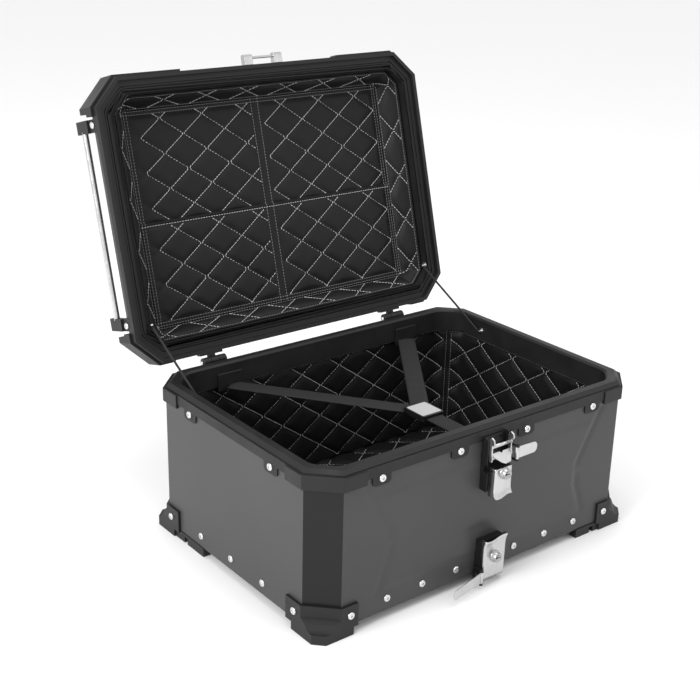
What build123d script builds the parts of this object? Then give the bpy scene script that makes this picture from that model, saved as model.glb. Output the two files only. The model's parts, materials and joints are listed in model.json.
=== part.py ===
from build123d import *
import math
import os

# ---------------------------------------------------------------------------
# Driving dimensions, in millimetres. X runs across the width, -Y is the front
# with the latches, +Y the back with the hinges, +Z is up. The origin is the
# centre of the mounting holes, on the underside of the floor pan.
# ---------------------------------------------------------------------------
body_width = 500.0
body_depth = 350.0
corner_cut = 31.0            # leg of the 45 degree bevel at each upright corner
panel_height = 187.0         # floor line to the underside of the rim
sheet = 1.5                  # aluminium sheet
contact = 0.3                # running clearance between moving pieces

rim_top = 193.0
rim_width = 16.5             # outer panel face to the rim's inner face
rim_proud = 2.0              # how far the rim stands out from the panels
rim_skirt_low = 176.0        # lower edge of the rim's outer skirt
rim_inner_low = 162.0        # lower edge of the rim's inner skirt
rim_wall = 2.0
rim_step = 5.0               # the rim's outer edge lies this far below its top
rim_slope_drop = 4.0
rim_slope_run = 5.0
rim_inner_round = 2.5
tab_width = 26.0
tab_low = 164.5
rim_screw_z = 172.9

sill_screw_z = 15.5
sill_flange = 26.0           # height of the floor pan's upturned edge
foot_height = 12.0           # floor line down to the ground
mount_spacing_x = 160.0
mount_spacing_y = 120.0
mount_hole_radius = 3.3

lid_proud = 5.0              # how far the lid's rim stands out from its wall
lid_height = 46.7            # lid's lower edge to its flat top
lid_wall_height = 25.0       # upright part of the lid's wall
lid_web = 3.0                # thickness of the lid rim over the base rim
lid_bevel_inset = 28.0       # how far the lid's sloping edge runs in
hinge_y = 191.2
hinge_z = 185.3
hinge_x = 151.0
hinge_width = 34.0
hinge_radius = 6.0
hinge_pin_radius = 2.5
open_angle = 105.4           # from shut to resting on the limit cords

screw_head_radius = 4.6
screw_head_height = 2.4
screw_shank_radius = 2.0
screw_hole_play = 0.1
screw_length = 4.5
screw_socket_radius = 1.7
screw_socket_depth = 1.4

lining_thickness = 5.0
lining_play = 0.3

strap_width = 25.0
strap_thickness = 1.6
strap_z = 163.0
cord_radius = 1.5

rail_radius = 4.0
rail_length = 240.0
rail_x = 253.0
rail_rise = 45.7             # rail centre above the lid's lower edge
bracket_length = 16.0
bracket_rise = 61.7
bracket_foot = 4.0

half_w = body_width / 2
half_d = body_depth / 2
lid_face = rim_top - rim_step + contact      # the lid's lower edge
lid_seat = rim_top + contact                 # underside of the lid rim's web
lid_skirt = rim_width + 2 * contact          # inset of the lid's inner skirt
bevel_inset = 2 - math.sqrt(2)   # how much an inset shortens a 45 degree bevel's leg
corners = {"fl": (-1, -1), "fr": (1, -1), "bl": (-1, 1), "br": (1, 1)}

parts = {}


# ---------------------------------------------------------------------------
# Helpers
# ---------------------------------------------------------------------------
def block(x0, x1, y0, y1, z0, z1):
    """A box between two corners."""
    size = Box(abs(x1 - x0), abs(y1 - y0), abs(z1 - z0))
    return Pos((x0 + x1) / 2, (y0 + y1) / 2, (z0 + z1) / 2) * size


def outline(inset):
    """The case's plan, a rectangle with bevelled corners, moved in by inset."""
    w = half_w - inset
    d = half_d - inset
    cut = corner_cut - inset * bevel_inset
    points = [(w, -d + cut), (w, d - cut), (w - cut, d), (-w + cut, d)]
    return points + [(-x, -y) for x, y in points]


def slab(inset, low, high):
    """The case's plan as a prism between two heights."""
    plan = Polygon(*outline(inset), align=None)
    return Pos(0, 0, low) * extrude(plan, high - low)


def ring(outer, inner, low, high):
    """A band that follows the plan, between two insets and two heights."""
    return slab(outer, low, high) - slab(inner, low - 1, high + 1)


def frustum(inset_low, inset_high, low, high):
    """The plan narrowing from one inset to another between two heights."""
    lower = Pos(0, 0, low) * Polygon(*outline(inset_low), align=None)
    upper = Pos(0, 0, high) * Polygon(*outline(inset_high), align=None)
    return loft([lower, upper])


def corner_box(sx, sy, reach_x, reach_y, low, high):
    """The space round one upright corner, reaching past its bevel by two lengths."""
    far = 30.0
    x = half_w - corner_cut - reach_x
    y = half_d - corner_cut - reach_y
    return block(sx * x, sx * (half_w + far), sy * y, sy * (half_d + far), low, high)


def rod(start, end, radius):
    """A round bar from one point to another."""
    a = Vector(*start)
    b = Vector(*end)
    bar = Cylinder(radius, (b - a).length, align=(Align.CENTER, Align.CENTER, Align.MIN))
    return Plane(origin=a, z_dir=b - a).location * bar


def screw_shape(length):
    """A button-head screw: head above the XY plane, shank below, hexagon socket."""
    low = (Align.CENTER, Align.CENTER, Align.MIN)
    head = Cylinder(screw_head_radius, screw_head_height, align=low)
    head = fillet(head.edges().group_by(Axis.Z)[-1], screw_head_height * 0.75)
    hexagon = RegularPolygon(screw_socket_radius, 6)
    socket = Pos(0, 0, screw_head_height - screw_socket_depth) * extrude(hexagon, 2)
    shank = Pos(0, 0, -length) * Cylinder(screw_shank_radius, length + 0.5, align=low)
    return head - socket + shank


def screws(places, length=screw_length):
    """A separate screw at each (point, outward direction)."""
    one = screw_shape(length)
    return [Plane(origin=point, z_dir=out).location * one for point, out in places]


def screw_holes(places, deep=12.0):
    """Clearance holes for the same screws."""
    holes = []
    for point, out in places:
        start = Vector(*point) + Vector(*out) * 4
        end = Vector(*point) - Vector(*out) * deep
        holes.append(rod(tuple(start), tuple(end), screw_shank_radius + screw_hole_play))
    return holes


def add(name, shape):
    """Keep a sub-part, as one solid or as a group of separate solids."""
    if isinstance(shape, list):
        shape = Compound(children=shape)
    parts[name] = shape


def open_lid(shape):
    """Turn a piece drawn on the shut lid to the open rest position."""
    axis = Axis((0, hinge_y, hinge_z), (1, 0, 0))
    if isinstance(shape, list):
        return [piece.rotate(axis, -open_angle) for piece in shape]
    return shape.rotate(axis, -open_angle)


# ---------------------------------------------------------------------------
# Screw places
# ---------------------------------------------------------------------------
front_sill_x = [s * x for x in (47.6, 100.8, 153.7) for s in (-1, 1)]
side_sill_y = [-66.7, 0.0, 66.7]
rim_screw_x = [-168.0, -53.0, 53.0, 168.0]
rim_screw_back_x = [-183.0, -53.0, 53.0, 183.0]   # the outer two stand beside the hinges
rim_screw_y = [-85.0, 85.0]
guard_screw_x = 208.0
guard_screw_y = 133.3
guard_screw_z = 14.4
guard_thickness = 3.5


def around(front, back, sides, z, proud):
    """Screws in the front and back faces at given x, and in the two sides at given y."""
    places = [((x, -half_d - proud, z), (0, -1, 0)) for x in front]
    places += [((x, half_d + proud, z), (0, 1, 0)) for x in back]
    for s in (-1, 1):
        places += [((s * (half_w + proud), y, z), (s, 0, 0)) for y in sides]
    return places


guard_xs = (-guard_screw_x, guard_screw_x)
guard_ys = (-guard_screw_y, guard_screw_y)
sill_places = around(front_sill_x, front_sill_x, side_sill_y, sill_screw_z, 0)
rim_places = around(rim_screw_x, rim_screw_back_x, rim_screw_y, rim_screw_z, rim_proud)
guard_places = around(guard_xs, guard_xs, guard_ys, guard_screw_z, guard_thickness)


# ---------------------------------------------------------------------------
# Base: panels, corner posts, floor pan
# ---------------------------------------------------------------------------
def panels():
    flat_x = half_w - corner_cut
    flat_y = half_d - corner_cut
    cuts = screw_holes(sill_places + rim_places + guard_places)
    front = block(-flat_x, flat_x, -half_d, -half_d + sheet, 0, panel_height)
    side = block(-half_w, -half_w + sheet, -flat_y, flat_y, 0, panel_height)
    add("panel_front", front - cuts)
    add("panel_back", front.mirror(Plane.XZ) - cuts)
    add("panel_left", side - cuts)
    add("panel_right", side.mirror(Plane.YZ) - cuts)


def corner_posts():
    """Each post shows its bevel and tucks a return behind the panels on both sides."""
    tuck = 24.0
    band = ring(0, 2 * sheet, 0, panel_height)
    flats = ring(0, sheet, -1, panel_height + 1)
    cuts = screw_holes(guard_places)
    for name, (sx, sy) in corners.items():
        bevel = band & corner_box(sx, sy, 0, 0, 0, panel_height)
        returns = (band - flats) & corner_box(sx, sy, tuck, tuck, 0, panel_height)
        add(f"corner_post_{name}", bevel + returns - cuts)


def floor_pan():
    """A tray with an upturned edge that the bottom screws bite into."""
    edge = 2 * sheet
    pan = slab(edge, 0, sheet) + ring(edge, edge + sheet, 0, sill_flange)
    holes = []
    for sx in (-1, 1):
        for sy in (-1, 1):
            foot = (sx * mount_spacing_x / 2, sy * mount_spacing_y / 2, -1)
            holes.append(rod(foot, (foot[0], foot[1], sheet + 1), mount_hole_radius))
    add("floor_pan", pan - holes - screw_holes(sill_places + guard_places))


# ---------------------------------------------------------------------------
# Base rim, its corner caps and the bottom corner guards
# ---------------------------------------------------------------------------
def base_rim():
    outer = ring(-rim_proud, rim_width, rim_inner_low, rim_top)
    below_skirt = ring(-rim_proud - 1, 0, rim_inner_low - 1, rim_skirt_low)
    channel = ring(0, rim_width - rim_wall, rim_inner_low - 1, panel_height)
    step_z = rim_top - rim_step
    slope_z = rim_top - rim_slope_drop
    hull = slab(-rim_proud, rim_inner_low, step_z) + slab(contact, step_z, slope_z)
    hull = hull + frustum(contact, contact + rim_slope_run, slope_z, rim_top)
    mouth = frustum(rim_width, rim_width - rim_inner_round, rim_top - rim_inner_round, rim_top)
    rim = (outer & hull) - below_skirt - channel - mouth
    tabs = []
    round_corner = 5.0
    for point, out in rim_places:
        tab = Box(tab_width, rim_proud, rim_skirt_low - tab_low + 6,
                  align=(Align.CENTER, Align.MAX, Align.MIN))
        low = tab.edges().filter_by(Axis.Y).group_by(Axis.Z)[0]
        tab = fillet(low, round_corner)
        turn = math.degrees(math.atan2(out[1], out[0])) - 90
        centre = (point[0], point[1], tab_low)
        tabs.append(Pos(*centre) * Rot(0, 0, turn) * tab)
    rim = rim + tabs
    add("base_rim", rim - screw_holes(rim_places) - cord_eye_sockets())
    return rim


def rim_caps(rim):
    """Plastic caps that hug the rim's bevelled corners."""
    wing = 30.0
    proud = rim_proud + 1.8
    low = 170.0
    high = rim_top - rim_step - contact
    shell = ring(-proud, 0, low, high) - rim
    for name, (sx, sy) in corners.items():
        cap = shell & corner_box(sx, sy, wing, wing, low, high)
        cap = max(cap.solids(), key=lambda s: s.volume)
        add(f"rim_cap_{name}", cap)


guard_plate_top = 27.0
guard_wing_x = 22.0
guard_wing_y = 27.0
toe_reach = 26.0             # how far the toe runs out from the bevel's face
toe_rise = 12.0              # where the toe's slope meets the bevel
toe_lip = 6.0                # the toe's front edge lies this far below the floor line
toe_truncate = 12.0          # the toe's tip is cut back by this leg
pad_reach = 16.0
arm_depth = 9.0
notch_width = 7.0
notch_high = 4.0             # the notch stops this far below the floor line
arm_reach = {"bl": (0, 82.0), "fr": (57.0, 0)}


def corner_foot():
    """The toe that fills out the square corner below the bevel, and the pad behind it."""
    outer_x = half_w + guard_thickness
    outer_y = half_d + guard_thickness
    middle = corner_cut / 2
    heel = -8.0
    profile = Polygon((heel, -foot_height), (toe_reach, -foot_height), (toe_reach, -toe_lip),
                      (toe_reach * 0.46, 2), (toe_reach * 0.35, 8), (2, toe_rise), (-2, toe_rise),
                      (-2, 0), (heel, 0), align=None)
    wedge = extrude(profile, 45, both=True)
    face = Plane(origin=(half_w - middle, half_d - middle, 0), x_dir=(1, 1, 0), z_dir=(1, -1, 0))
    clip = block(half_w - corner_cut - 6, outer_x, half_d - corner_cut - 6, outer_y,
                 -foot_height, toe_rise + 1)
    pad = block(half_w - corner_cut - pad_reach, outer_x, half_d - corner_cut - pad_reach,
                outer_y, -foot_height, 0)
    tip = Pos(outer_x, outer_y, 0) * Rot(0, 0, 45) * Box(toe_truncate * math.sqrt(2), 80, 60)
    return ((face.location * wedge) & clip) + pad - tip - slab(0, 0, guard_plate_top)


def guard_arm(sx, sy, reach_x, reach_y):
    """A ledge that carries the foot on under one panel, notched for a tie."""
    x = half_w - corner_cut
    y = half_d - corner_cut
    if reach_x:
        middle = sx * (x - reach_x / 2)
        arm = block(sx * (x - reach_x), sx * (x - pad_reach + 1), sy * (half_d + 1),
                    sy * (half_d - arm_depth), -foot_height, 0)
        notch = block(middle - notch_width / 2, middle + notch_width / 2, sy * (half_d + 2),
                      sy * (half_d - arm_depth - 1), -foot_height - 1, -notch_high)
    else:
        middle = sy * (y - reach_y / 2)
        arm = block(sx * (half_w + 1), sx * (half_w - arm_depth), sy * (y - reach_y),
                    sy * (y - pad_reach + 1), -foot_height, 0)
        notch = block(sx * (half_w + 2), sx * (half_w - arm_depth - 1), middle - notch_width / 2,
                      middle + notch_width / 2, -foot_height - 1, -notch_high)
    return arm - notch


def foot_guards():
    """Corner guards: a plate wrapped round the bevel, a sloping toe and the foot below."""
    for name, (sx, sy) in corners.items():
        plate = ring(-guard_thickness, 0, -2, guard_plate_top)
        guard = plate & corner_box(sx, sy, guard_wing_x, guard_wing_y, -2, guard_plate_top)
        foot = corner_foot()
        if sx < 0:
            foot = foot.mirror(Plane.YZ)
        if sy < 0:
            foot = foot.mirror(Plane.XZ)
        guard = guard + foot
        if name in arm_reach:
            guard = guard + guard_arm(sx, sy, *arm_reach[name])
        add(f"foot_guard_{name}", guard - screw_holes(guard_places))


# ---------------------------------------------------------------------------
# Linings (soft) and luggage straps
# ---------------------------------------------------------------------------
def base_linings():
    outer = 3 * sheet + lining_play
    inner = outer + lining_thickness
    floor = sheet + lining_play
    walls = ring(outer, inner, floor, rim_inner_low + 8)
    add("lining_walls", walls)
    add("lining_floor", slab(inner + lining_play, floor, floor + lining_thickness))


strap_anchor_x = 148.0
strap_anchor_width = 36.0
strap_anchor_height = 24.0
strap_anchor_depth = 2.5
buckle_y = -52.0
buckle_size = (34.0, 40.0, 7.0)


def straps():
    """Two straps from the back wall meet at a buckle; one runs on to the front wall."""
    wall = half_d - rim_width
    back = wall - strap_anchor_depth
    anchors = []
    for x, s in ((-strap_anchor_x, 1), (strap_anchor_x, 1), (0, -1)):
        anchors.append(block(x - strap_anchor_width / 2, x + strap_anchor_width / 2,
                             s * back, s * wall, rim_inner_low - 6,
                             rim_inner_low - 6 + strap_anchor_height))
    add("strap_anchors", anchors)
    half_b = buckle_size[1] / 2
    tail = buckle_y + half_b
    reach = block(0, half_w, tail + contact, back - contact, strap_z - 10, strap_z + 10)
    for name, s in (("strap_left", -1), ("strap_right", 1)):
        anchor = Vector(strap_anchor_x, back, strap_z)
        meet = Vector(strap_width / 2, tail, strap_z)
        run = anchor - meet
        band = Box(run.length + 2 * strap_width, strap_width, strap_thickness)
        turn = math.degrees(math.atan2(run.Y, run.X))
        band = (Pos(*tuple(anchor * 0.5 + meet * 0.5)) * Rot(0, 0, turn) * band) & reach
        add(name, band if s > 0 else band.mirror(Plane.YZ))
    front = block(-strap_width / 2, strap_width / 2, -back + 0.3, buckle_y - half_b - 0.3,
                  strap_z - strap_thickness / 2, strap_z + strap_thickness / 2)
    add("strap_front", front)
    frame = block(-buckle_size[0] / 2, buckle_size[0] / 2, buckle_y - half_b, tail,
                  strap_z - buckle_size[2] / 2, strap_z + buckle_size[2] / 2)
    frame = fillet(frame.edges().filter_by(Axis.Z), 4)
    slot = block(-strap_width / 2 - 1, strap_width / 2 + 1, tail - 11, tail - 6,
                 strap_z - 10, strap_z + 10)
    add("strap_buckle", frame - slot)


# ---------------------------------------------------------------------------
# Limit cords
# ---------------------------------------------------------------------------
cord_base_eye = (229.0, 92.0, 176.0)
cord_lid_eye = (227.0, 130.0, lid_face + 6.0)
eye_radius = 4.5


def cord_eye_sockets():
    """Holes in the rim's inner skirt for the eye studs."""
    return [rod((s * (half_w - rim_width - 3), cord_base_eye[1], cord_base_eye[2]),
                (s * (half_w - 2 * sheet - 6), cord_base_eye[1], cord_base_eye[2]),
                screw_shank_radius + screw_hole_play) for s in (-1, 1)]


def eye(point, wall_x):
    """A stud with a flange and a drilled end that the cord is tied to."""
    s = 1 if point[0] > 0 else -1
    flange = rod((s * (wall_x - 1.2), point[1], point[2]), (s * wall_x, point[1], point[2]),
                 eye_radius)
    neck = rod((s * (wall_x - 5.5), point[1], point[2]), (s * (wall_x + 1.5), point[1], point[2]),
               screw_shank_radius)
    return flange + neck


def limit_cords():
    base_wall = half_w - rim_width
    lid_wall = half_w - lid_skirt - rim_wall
    base_eyes = []
    lid_eyes = []
    for name, s in (("cord_left", -1), ("cord_right", 1)):
        low = (s * cord_base_eye[0], cord_base_eye[1], cord_base_eye[2])
        high = (s * cord_lid_eye[0], cord_lid_eye[1], cord_lid_eye[2])
        base_eyes.append(eye(low, base_wall))
        lid_eyes.append(eye(high, lid_wall))
        turned = open_lid(Pos(*high) * Sphere(1)).center()
        a = Vector(*low)
        b = Vector(turned.X, turned.Y, turned.Z)
        gap = (b - a).normalized() * (screw_shank_radius + 2 * contact)
        add(name, rod(tuple(a + gap), tuple(b - gap), cord_radius))
    add("cord_base_eyes", base_eyes)
    add("cord_lid_eyes", open_lid(lid_eyes))


# ---------------------------------------------------------------------------
# Hinges
# ---------------------------------------------------------------------------
def hinges():
    """Base leaf with two end knuckles, lid leaf with the middle knuckle, and a pin."""
    knuckle = hinge_width / 3
    plate = 3.0
    leaf_low = 150.0
    pins = []
    for name, s in (("left", -1), ("right", 1)):
        x0 = s * hinge_x - hinge_width / 2
        x1 = x0 + hinge_width
        wall = half_d + rim_proud
        bore = rod((x0 - 1, hinge_y, hinge_z), (x1 + 1, hinge_y, hinge_z),
                   hinge_pin_radius + screw_hole_play)
        leaf = block(x0, x1, half_d, wall + plate, leaf_low, rim_skirt_low - contact)
        arm = block(x0, x1, half_d + contact, hinge_y, 168, rim_skirt_low - contact)
        barrel = rod((x0, hinge_y, hinge_z), (x1, hinge_y, hinge_z), hinge_radius)
        web = block(x0, x1, hinge_y - hinge_radius, hinge_y + hinge_radius * 0.6, 168, hinge_z)
        gap = block(x0 + knuckle - contact, x1 - knuckle + contact, wall + plate + 0.5,
                    hinge_y + 20, 160, hinge_z + 20)
        base = leaf + arm + barrel + web - gap - bore
        add(f"hinge_base_{name}", base)
        lid_wall = half_d + lid_proud
        lid_leaf = block(x0, x1, lid_wall, lid_wall + plate, lid_face, lid_rim_high)
        finger_x0 = x0 + knuckle + contact
        finger_x1 = x1 - knuckle - contact
        finger = block(finger_x0, finger_x1, lid_wall, hinge_y + hinge_radius * 0.5,
                       lid_face, lid_face + 4)
        riser = block(finger_x0, finger_x1, hinge_y - hinge_radius * 0.5, hinge_y + hinge_radius * 0.5,
                      hinge_z, lid_face + 4)
        lid_barrel = rod((finger_x0, hinge_y, hinge_z), (finger_x1, hinge_y, hinge_z), hinge_radius)
        add(f"hinge_lid_{name}", open_lid(lid_leaf + finger + riser + lid_barrel - bore))
        pins.append(rod((x0 - 1.5, hinge_y, hinge_z), (x1 + 1.5, hinge_y, hinge_z), hinge_pin_radius))
    add("hinge_pins", pins)


# ---------------------------------------------------------------------------
# Lid
# ---------------------------------------------------------------------------
lid_top = lid_face + lid_height
lid_wall_top = lid_face + lid_wall_height
lid_rim_high = lid_face + 9.0


def lid_outer():
    """The lid's outside as a full solid."""
    return slab(0, lid_face, lid_wall_top) + frustum(0, lid_bevel_inset, lid_wall_top, lid_top)


def lid_shell():
    inner_wall = slab(sheet, lid_face - 1, lid_wall_top)
    inner_top = frustum(sheet, lid_bevel_inset + sheet * 0.6, lid_wall_top, lid_top - sheet)
    shell = lid_outer() - inner_wall - inner_top
    shell = shell - slab(-5, lid_face - 2, lid_seat + lid_web)
    add("lid_shell", open_lid(shell))


def lid_rim():
    """A frame that closes the shell's edge, with a lip outside and a skirt inside."""
    inner = lid_skirt + rim_wall
    web = ring(-lid_proud, inner, lid_seat, lid_seat + lid_web)
    lip = ring(-lid_proud, 0, lid_face, lid_rim_high)
    skirt = ring(lid_skirt, inner, lid_face, lid_seat + 7.0)
    seal_depth = 1.8
    groove = ring(7.0, 11.0, lid_seat - 1, lid_seat + seal_depth)
    studs = [rod((s * (half_w - inner - 1), cord_lid_eye[1], cord_lid_eye[2]),
                 (s * (half_w - lid_skirt + 1), cord_lid_eye[1], cord_lid_eye[2]),
                 screw_shank_radius + screw_hole_play) for s in (-1, 1)]
    add("lid_rim", open_lid(web + lip + skirt - groove - studs))
    add("lid_seal", open_lid(ring(7.2, 10.8, lid_seat, lid_seat + seal_depth - 0.1)))


def lid_guards():
    """Corner bumpers that keep the upright bevel going up past the lid's sloping edge."""
    front_wing = 94.0
    back_wing = 20.0
    side_wing = 8.0
    proud = lid_proud + 3.5
    high = lid_face + 40.0
    body = lid_outer() + slab(-lid_proud, lid_face, lid_rim_high)
    for name, (sx, sy) in corners.items():
        nose = slab(-proud, lid_rim_high + contact, high) - body
        nose = nose & corner_box(sx, sy, 4, 4, lid_rim_high, high)
        wings = ring(-proud, 0, lid_rim_high + contact, lid_wall_top - 1)
        wing = front_wing if sy < 0 else back_wing
        wings = wings & corner_box(sx, sy, wing, side_wing, lid_rim_high, lid_wall_top - 1)
        guard = nose + wings
        guard = max(guard.solids(), key=lambda s: s.volume)
        add(f"lid_guard_{name}", open_lid(guard))


def tie_down_rails():
    """A round rail along each side of the lid, held by a bracket near each end."""
    foot_low = lid_rim_high + contact
    bracket_inner = half_w - 3.0
    bracket_outer = half_w + 7.0
    brackets = []
    places = []
    for name, s in (("rail_left", -1), ("rail_right", 1)):
        z = lid_face + rail_rise
        end = rail_length / 2
        rail = rod((s * rail_x, -end, z), (s * rail_x, end, z), rail_radius)
        add(name, open_lid(rail))
        for t in (-1, 1):
            y0 = t * (end - 3)
            y1 = t * (end - 3 + bracket_length)
            arm = block(s * bracket_inner, s * bracket_outer, y0, y1, lid_wall_top + 4,
                        lid_face + bracket_rise)
            arm = fillet(arm.edges().filter_by(Axis.Y).group_by(Axis.Z)[-1], 4)
            foot = block(s * half_w, s * (half_w + bracket_foot), y0, y1, foot_low, lid_wall_top + 5)
            socket = rod((s * rail_x, t * (end - 5), z), (s * rail_x, t * end, z),
                         rail_radius + 0.05)
            brackets.append(arm + foot - socket)
            places.append(((s * (half_w + bracket_foot), t * (end + 6), lid_face + 19.0), (s, 0, 0)))
    cuts = screw_holes(places, 9)
    parts["lid_shell"] = parts["lid_shell"] - open_lid(cuts)
    brackets = [b - cuts for b in brackets]
    add("rail_brackets", open_lid(brackets))
    add("rail_screws", open_lid(screws(places, bracket_foot + 3 * sheet)))


def lid_keeper():
    """Two posts and a bar on the lid's front edge for the latch hook to catch."""
    wall = half_d + lid_proud
    post_inner = 17.0
    post_outer = 30.0
    post_reach = 14.0
    low = lid_face + 3.0
    high = lid_face + 12.0
    bar_y = -wall - 9.5
    keeper = rod((-post_inner - 1, bar_y, lid_face + 7.5), (post_inner + 1, bar_y, lid_face + 7.5), 1.8)
    for s in (-1, 1):
        post = block(s * post_inner, s * post_outer, -wall - post_reach, -wall, low, high)
        keeper = keeper + fillet(post.edges().filter_by(Axis.X).group_by(Axis.Y)[0], 3)
    add("lid_keeper", open_lid(keeper))


def lid_lining():
    """Quilted lining: sloping sides from the rim's skirt and a flat ceiling."""
    top = lid_face + 40.0
    low = lid_seat + 7.0 + lining_play
    inset_low = lid_skirt
    inset_high = inset_low + 28.0
    outer = frustum(inset_low, inset_high, low, top)
    inner = frustum(inset_low + 3.5, inset_high + 3, low, top - 7.0)
    add("lid_lining", open_lid(outer - inner))


# ---------------------------------------------------------------------------
# Latches. Each is drawn standing on the XZ plane (outward is -Y) with its
# finger lip at z = 0 and its hook above, then put in place.
# ---------------------------------------------------------------------------
latch_half = 18.0
latch_base_depth = 11.0
latch_sheet = 1.5
cover_pin_radius = 1.2
flap_height = 15.0
flap_wall = 1.2
flap_axis_x = 20.7
barrel_radius = 2.6
ear_thickness = 2.2
hook_inner = 14.3            # the hook's arms run outside the upper cover's sides
hook_outer = 16.8
hook_drop = 16.0             # from the cover's hinge down to the hook's pivot
hook_pivot_out = 2.0


def cover_hinge(length, depth):
    """Where the cover turns: its distance out from the panel and its height."""
    inside = (depth - latch_sheet) / 2
    return -latch_base_depth - contact - inside, length - 6.0


def latch_base(length, half, depth, throat_height, flap_low, flap_out):
    """Plate with a throat at the hook's end, the cover's hinge lug and the flap's ears."""
    back = -latch_base_depth
    recess = back + 6.0
    pivot_y, pivot_z = cover_hinge(length, depth)
    body = block(-latch_half, latch_half, 0, back, 3, length - 9)
    body = body + block(-latch_half, latch_half, 0, recess, length - 10, length + 2)
    stand_off = rim_proud + 0.1
    throat = block(-latch_half, latch_half, -stand_off, -stand_off - 2, length + 1,
                   length + throat_height)
    cheek_inner = hook_outer + contact
    for s in (-1, 1):
        throat = throat + block(s * cheek_inner, s * (cheek_inner + 1.6), -stand_off, back,
                                length + 1, length + throat_height)
        throat = throat + block(s * latch_half, s * (cheek_inner + 1.6), 0, recess,
                                length - 10, length + 2)
    ear_round = min(5.0, (throat_height - 1) * 0.4)
    ear_tops = [e for e in throat.edges().filter_by(Axis.X)
                if abs(e.center().Y - back) < 0.01 and abs(e.center().Z - length - throat_height) < 0.01]
    throat = fillet(ear_tops, ear_round)
    lug_half = half - latch_sheet - 1.0
    lug_radius = min((depth - latch_sheet) / 2 - 0.15, 3.0)
    lug = block(-lug_half, lug_half, recess + 1, pivot_y, pivot_z - lug_radius, pivot_z + lug_radius)
    lug = lug + rod((-lug_half, pivot_y, pivot_z), (lug_half, pivot_y, pivot_z), lug_radius)
    pin = rod((-half, pivot_y, pivot_z), (half, pivot_y, pivot_z), cover_pin_radius)
    body = body + throat + lug + pin
    clear_of_cover = block(-latch_half, latch_half + 0.5, back, -60, -10, length + 60)
    flap_high = flap_low + flap_height
    for low in (flap_low - contact - ear_thickness, flap_high + contact):
        plate = block(cheek_inner, flap_axis_x, -stand_off, -flap_out, low, low + ear_thickness)
        plate = plate + rod((flap_axis_x, -flap_out, low), (flap_axis_x, -flap_out, low + ear_thickness),
                            barrel_radius)
        body = body + (plate - clear_of_cover)
    return body + rod((flap_axis_x, -flap_out, flap_low - 1), (flap_axis_x, -flap_out, flap_high + 1),
                      cover_pin_radius)


def latch_cover(length, half, depth, key_z, hooked):
    """Folded plate with a finger lip, turning on two holes in its sides."""
    back = -latch_base_depth
    front = back - contact - depth
    inner = half - latch_sheet
    pivot_y, pivot_z = cover_hinge(length, depth)
    cover = block(-half, half, front, front + latch_sheet, 0, length - 1)
    for s in (-1, 1):
        cover = cover + block(s * half, s * inner, front, back - contact, 0, length - 1)
    cover = cover + block(-half, half, front - 2.5, front + latch_sheet, -2.5, 0.5)
    cover = cover + rod((0, front, key_z), (0, front - 2.5, key_z), 8.0)
    cover = cover - rod((0, front - 5, key_z), (0, front + 3, key_z), 5.6)
    hole = cover_pin_radius + screw_hole_play
    cover = cover - rod((-half - 1, pivot_y, pivot_z), (half + 1, pivot_y, pivot_z), hole)
    if hooked:
        y = pivot_y - hook_pivot_out
        z = pivot_z - hook_drop
        cover = cover - rod((-half - 1, y, z), (half + 1, y, z), hole)
    return cover


def latch_key(depth, key_z):
    """Lock cylinder with a key slot."""
    front = -latch_base_depth - contact - depth
    key = rod((0, front + latch_sheet, key_z), (0, front - 4.0, key_z), 5.5)
    return key - block(-3.6, 3.6, front - 5, front - 2.4, key_z - 0.7, key_z + 0.7)


def latch_hook(length, depth):
    """Two arms that run up beside the cover to a pair of claws, tied by a bar and a tongue."""
    pivot_y, pivot_z = cover_hinge(length, depth)
    y = pivot_y - hook_pivot_out
    z = pivot_z - hook_drop
    low = length + 10.0
    high = length + 36.0
    side = Polygon((y + 3, z - 3), (y + 3, low), (-9, low + 8), (-9, high - 9), (-12, high - 9),
                   (-12, high - 5), (-14, high - 4), (-16, high - 6), (-16, low + 9),
                   (y - 3, low + 2), (y - 3, z - 3), align=None)
    tip = Polygon((-9, high - 9), (-9, high - 2), (-12, high), (-17, high - 1), (-18.5, high - 6),
                  (-16, high - 8), (-16, high - 6), (-14, high - 4), (-12, high - 5),
                  (-12, high - 9), align=None)
    arm = extrude(Plane.YZ * (side + tip), hook_outer - hook_inner)
    hook = Pos(hook_inner, 0, 0) * arm + Pos(-hook_outer, 0, 0) * arm
    hook = hook + rod((-hook_inner, -13.5, high - 12), (hook_inner, -13.5, high - 12), 1.9)
    tongue_z = low + 2
    hook = hook + block(-hook_inner, hook_inner, -10, -15.5, tongue_z, tongue_z + 2)
    hook = hook - extrude(Pos(3, -15.5, tongue_z - 1) * Polygon((-6, 0), (6, 0), (0, 4), align=None), 4)
    for s in (-1, 1):
        hook = hook + rod((s * (hook_inner + 0.5), y, z), (s * (hook_inner - 1.5), y, z),
                          cover_pin_radius)
    return hook


def latch_flap(length, low, out, turn):
    """Swing-out lever: a channel on an upright barrel."""
    inside = -contact
    flap = block(0, length, barrel_radius, barrel_radius - flap_wall, 0, flap_height)
    flap = flap + block(0, length, barrel_radius, inside, 0, flap_wall)
    flap = flap + block(0, length, barrel_radius, inside, flap_height - flap_wall, flap_height)
    flap = flap + block(length - flap_wall, length, barrel_radius, inside, 0, flap_height)
    flap = fillet(flap.edges().filter_by(Axis.Y).group_by(Axis.X)[-1], 4.0)
    flap = flap + rod((0, 0, 0), (0, 0, flap_height), barrel_radius)
    flap = flap - rod((0, 0, -1), (0, 0, flap_height + 1), cover_pin_radius + 0.15)
    return Pos(flap_axis_x, -out, low) * Rot(0, 0, turn) * flap


upper_latch_z = 110.5
lower_latch_z = 50.0
rack_tongue = 6.0            # how far the lower latch's tongue reaches past its cover


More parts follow.
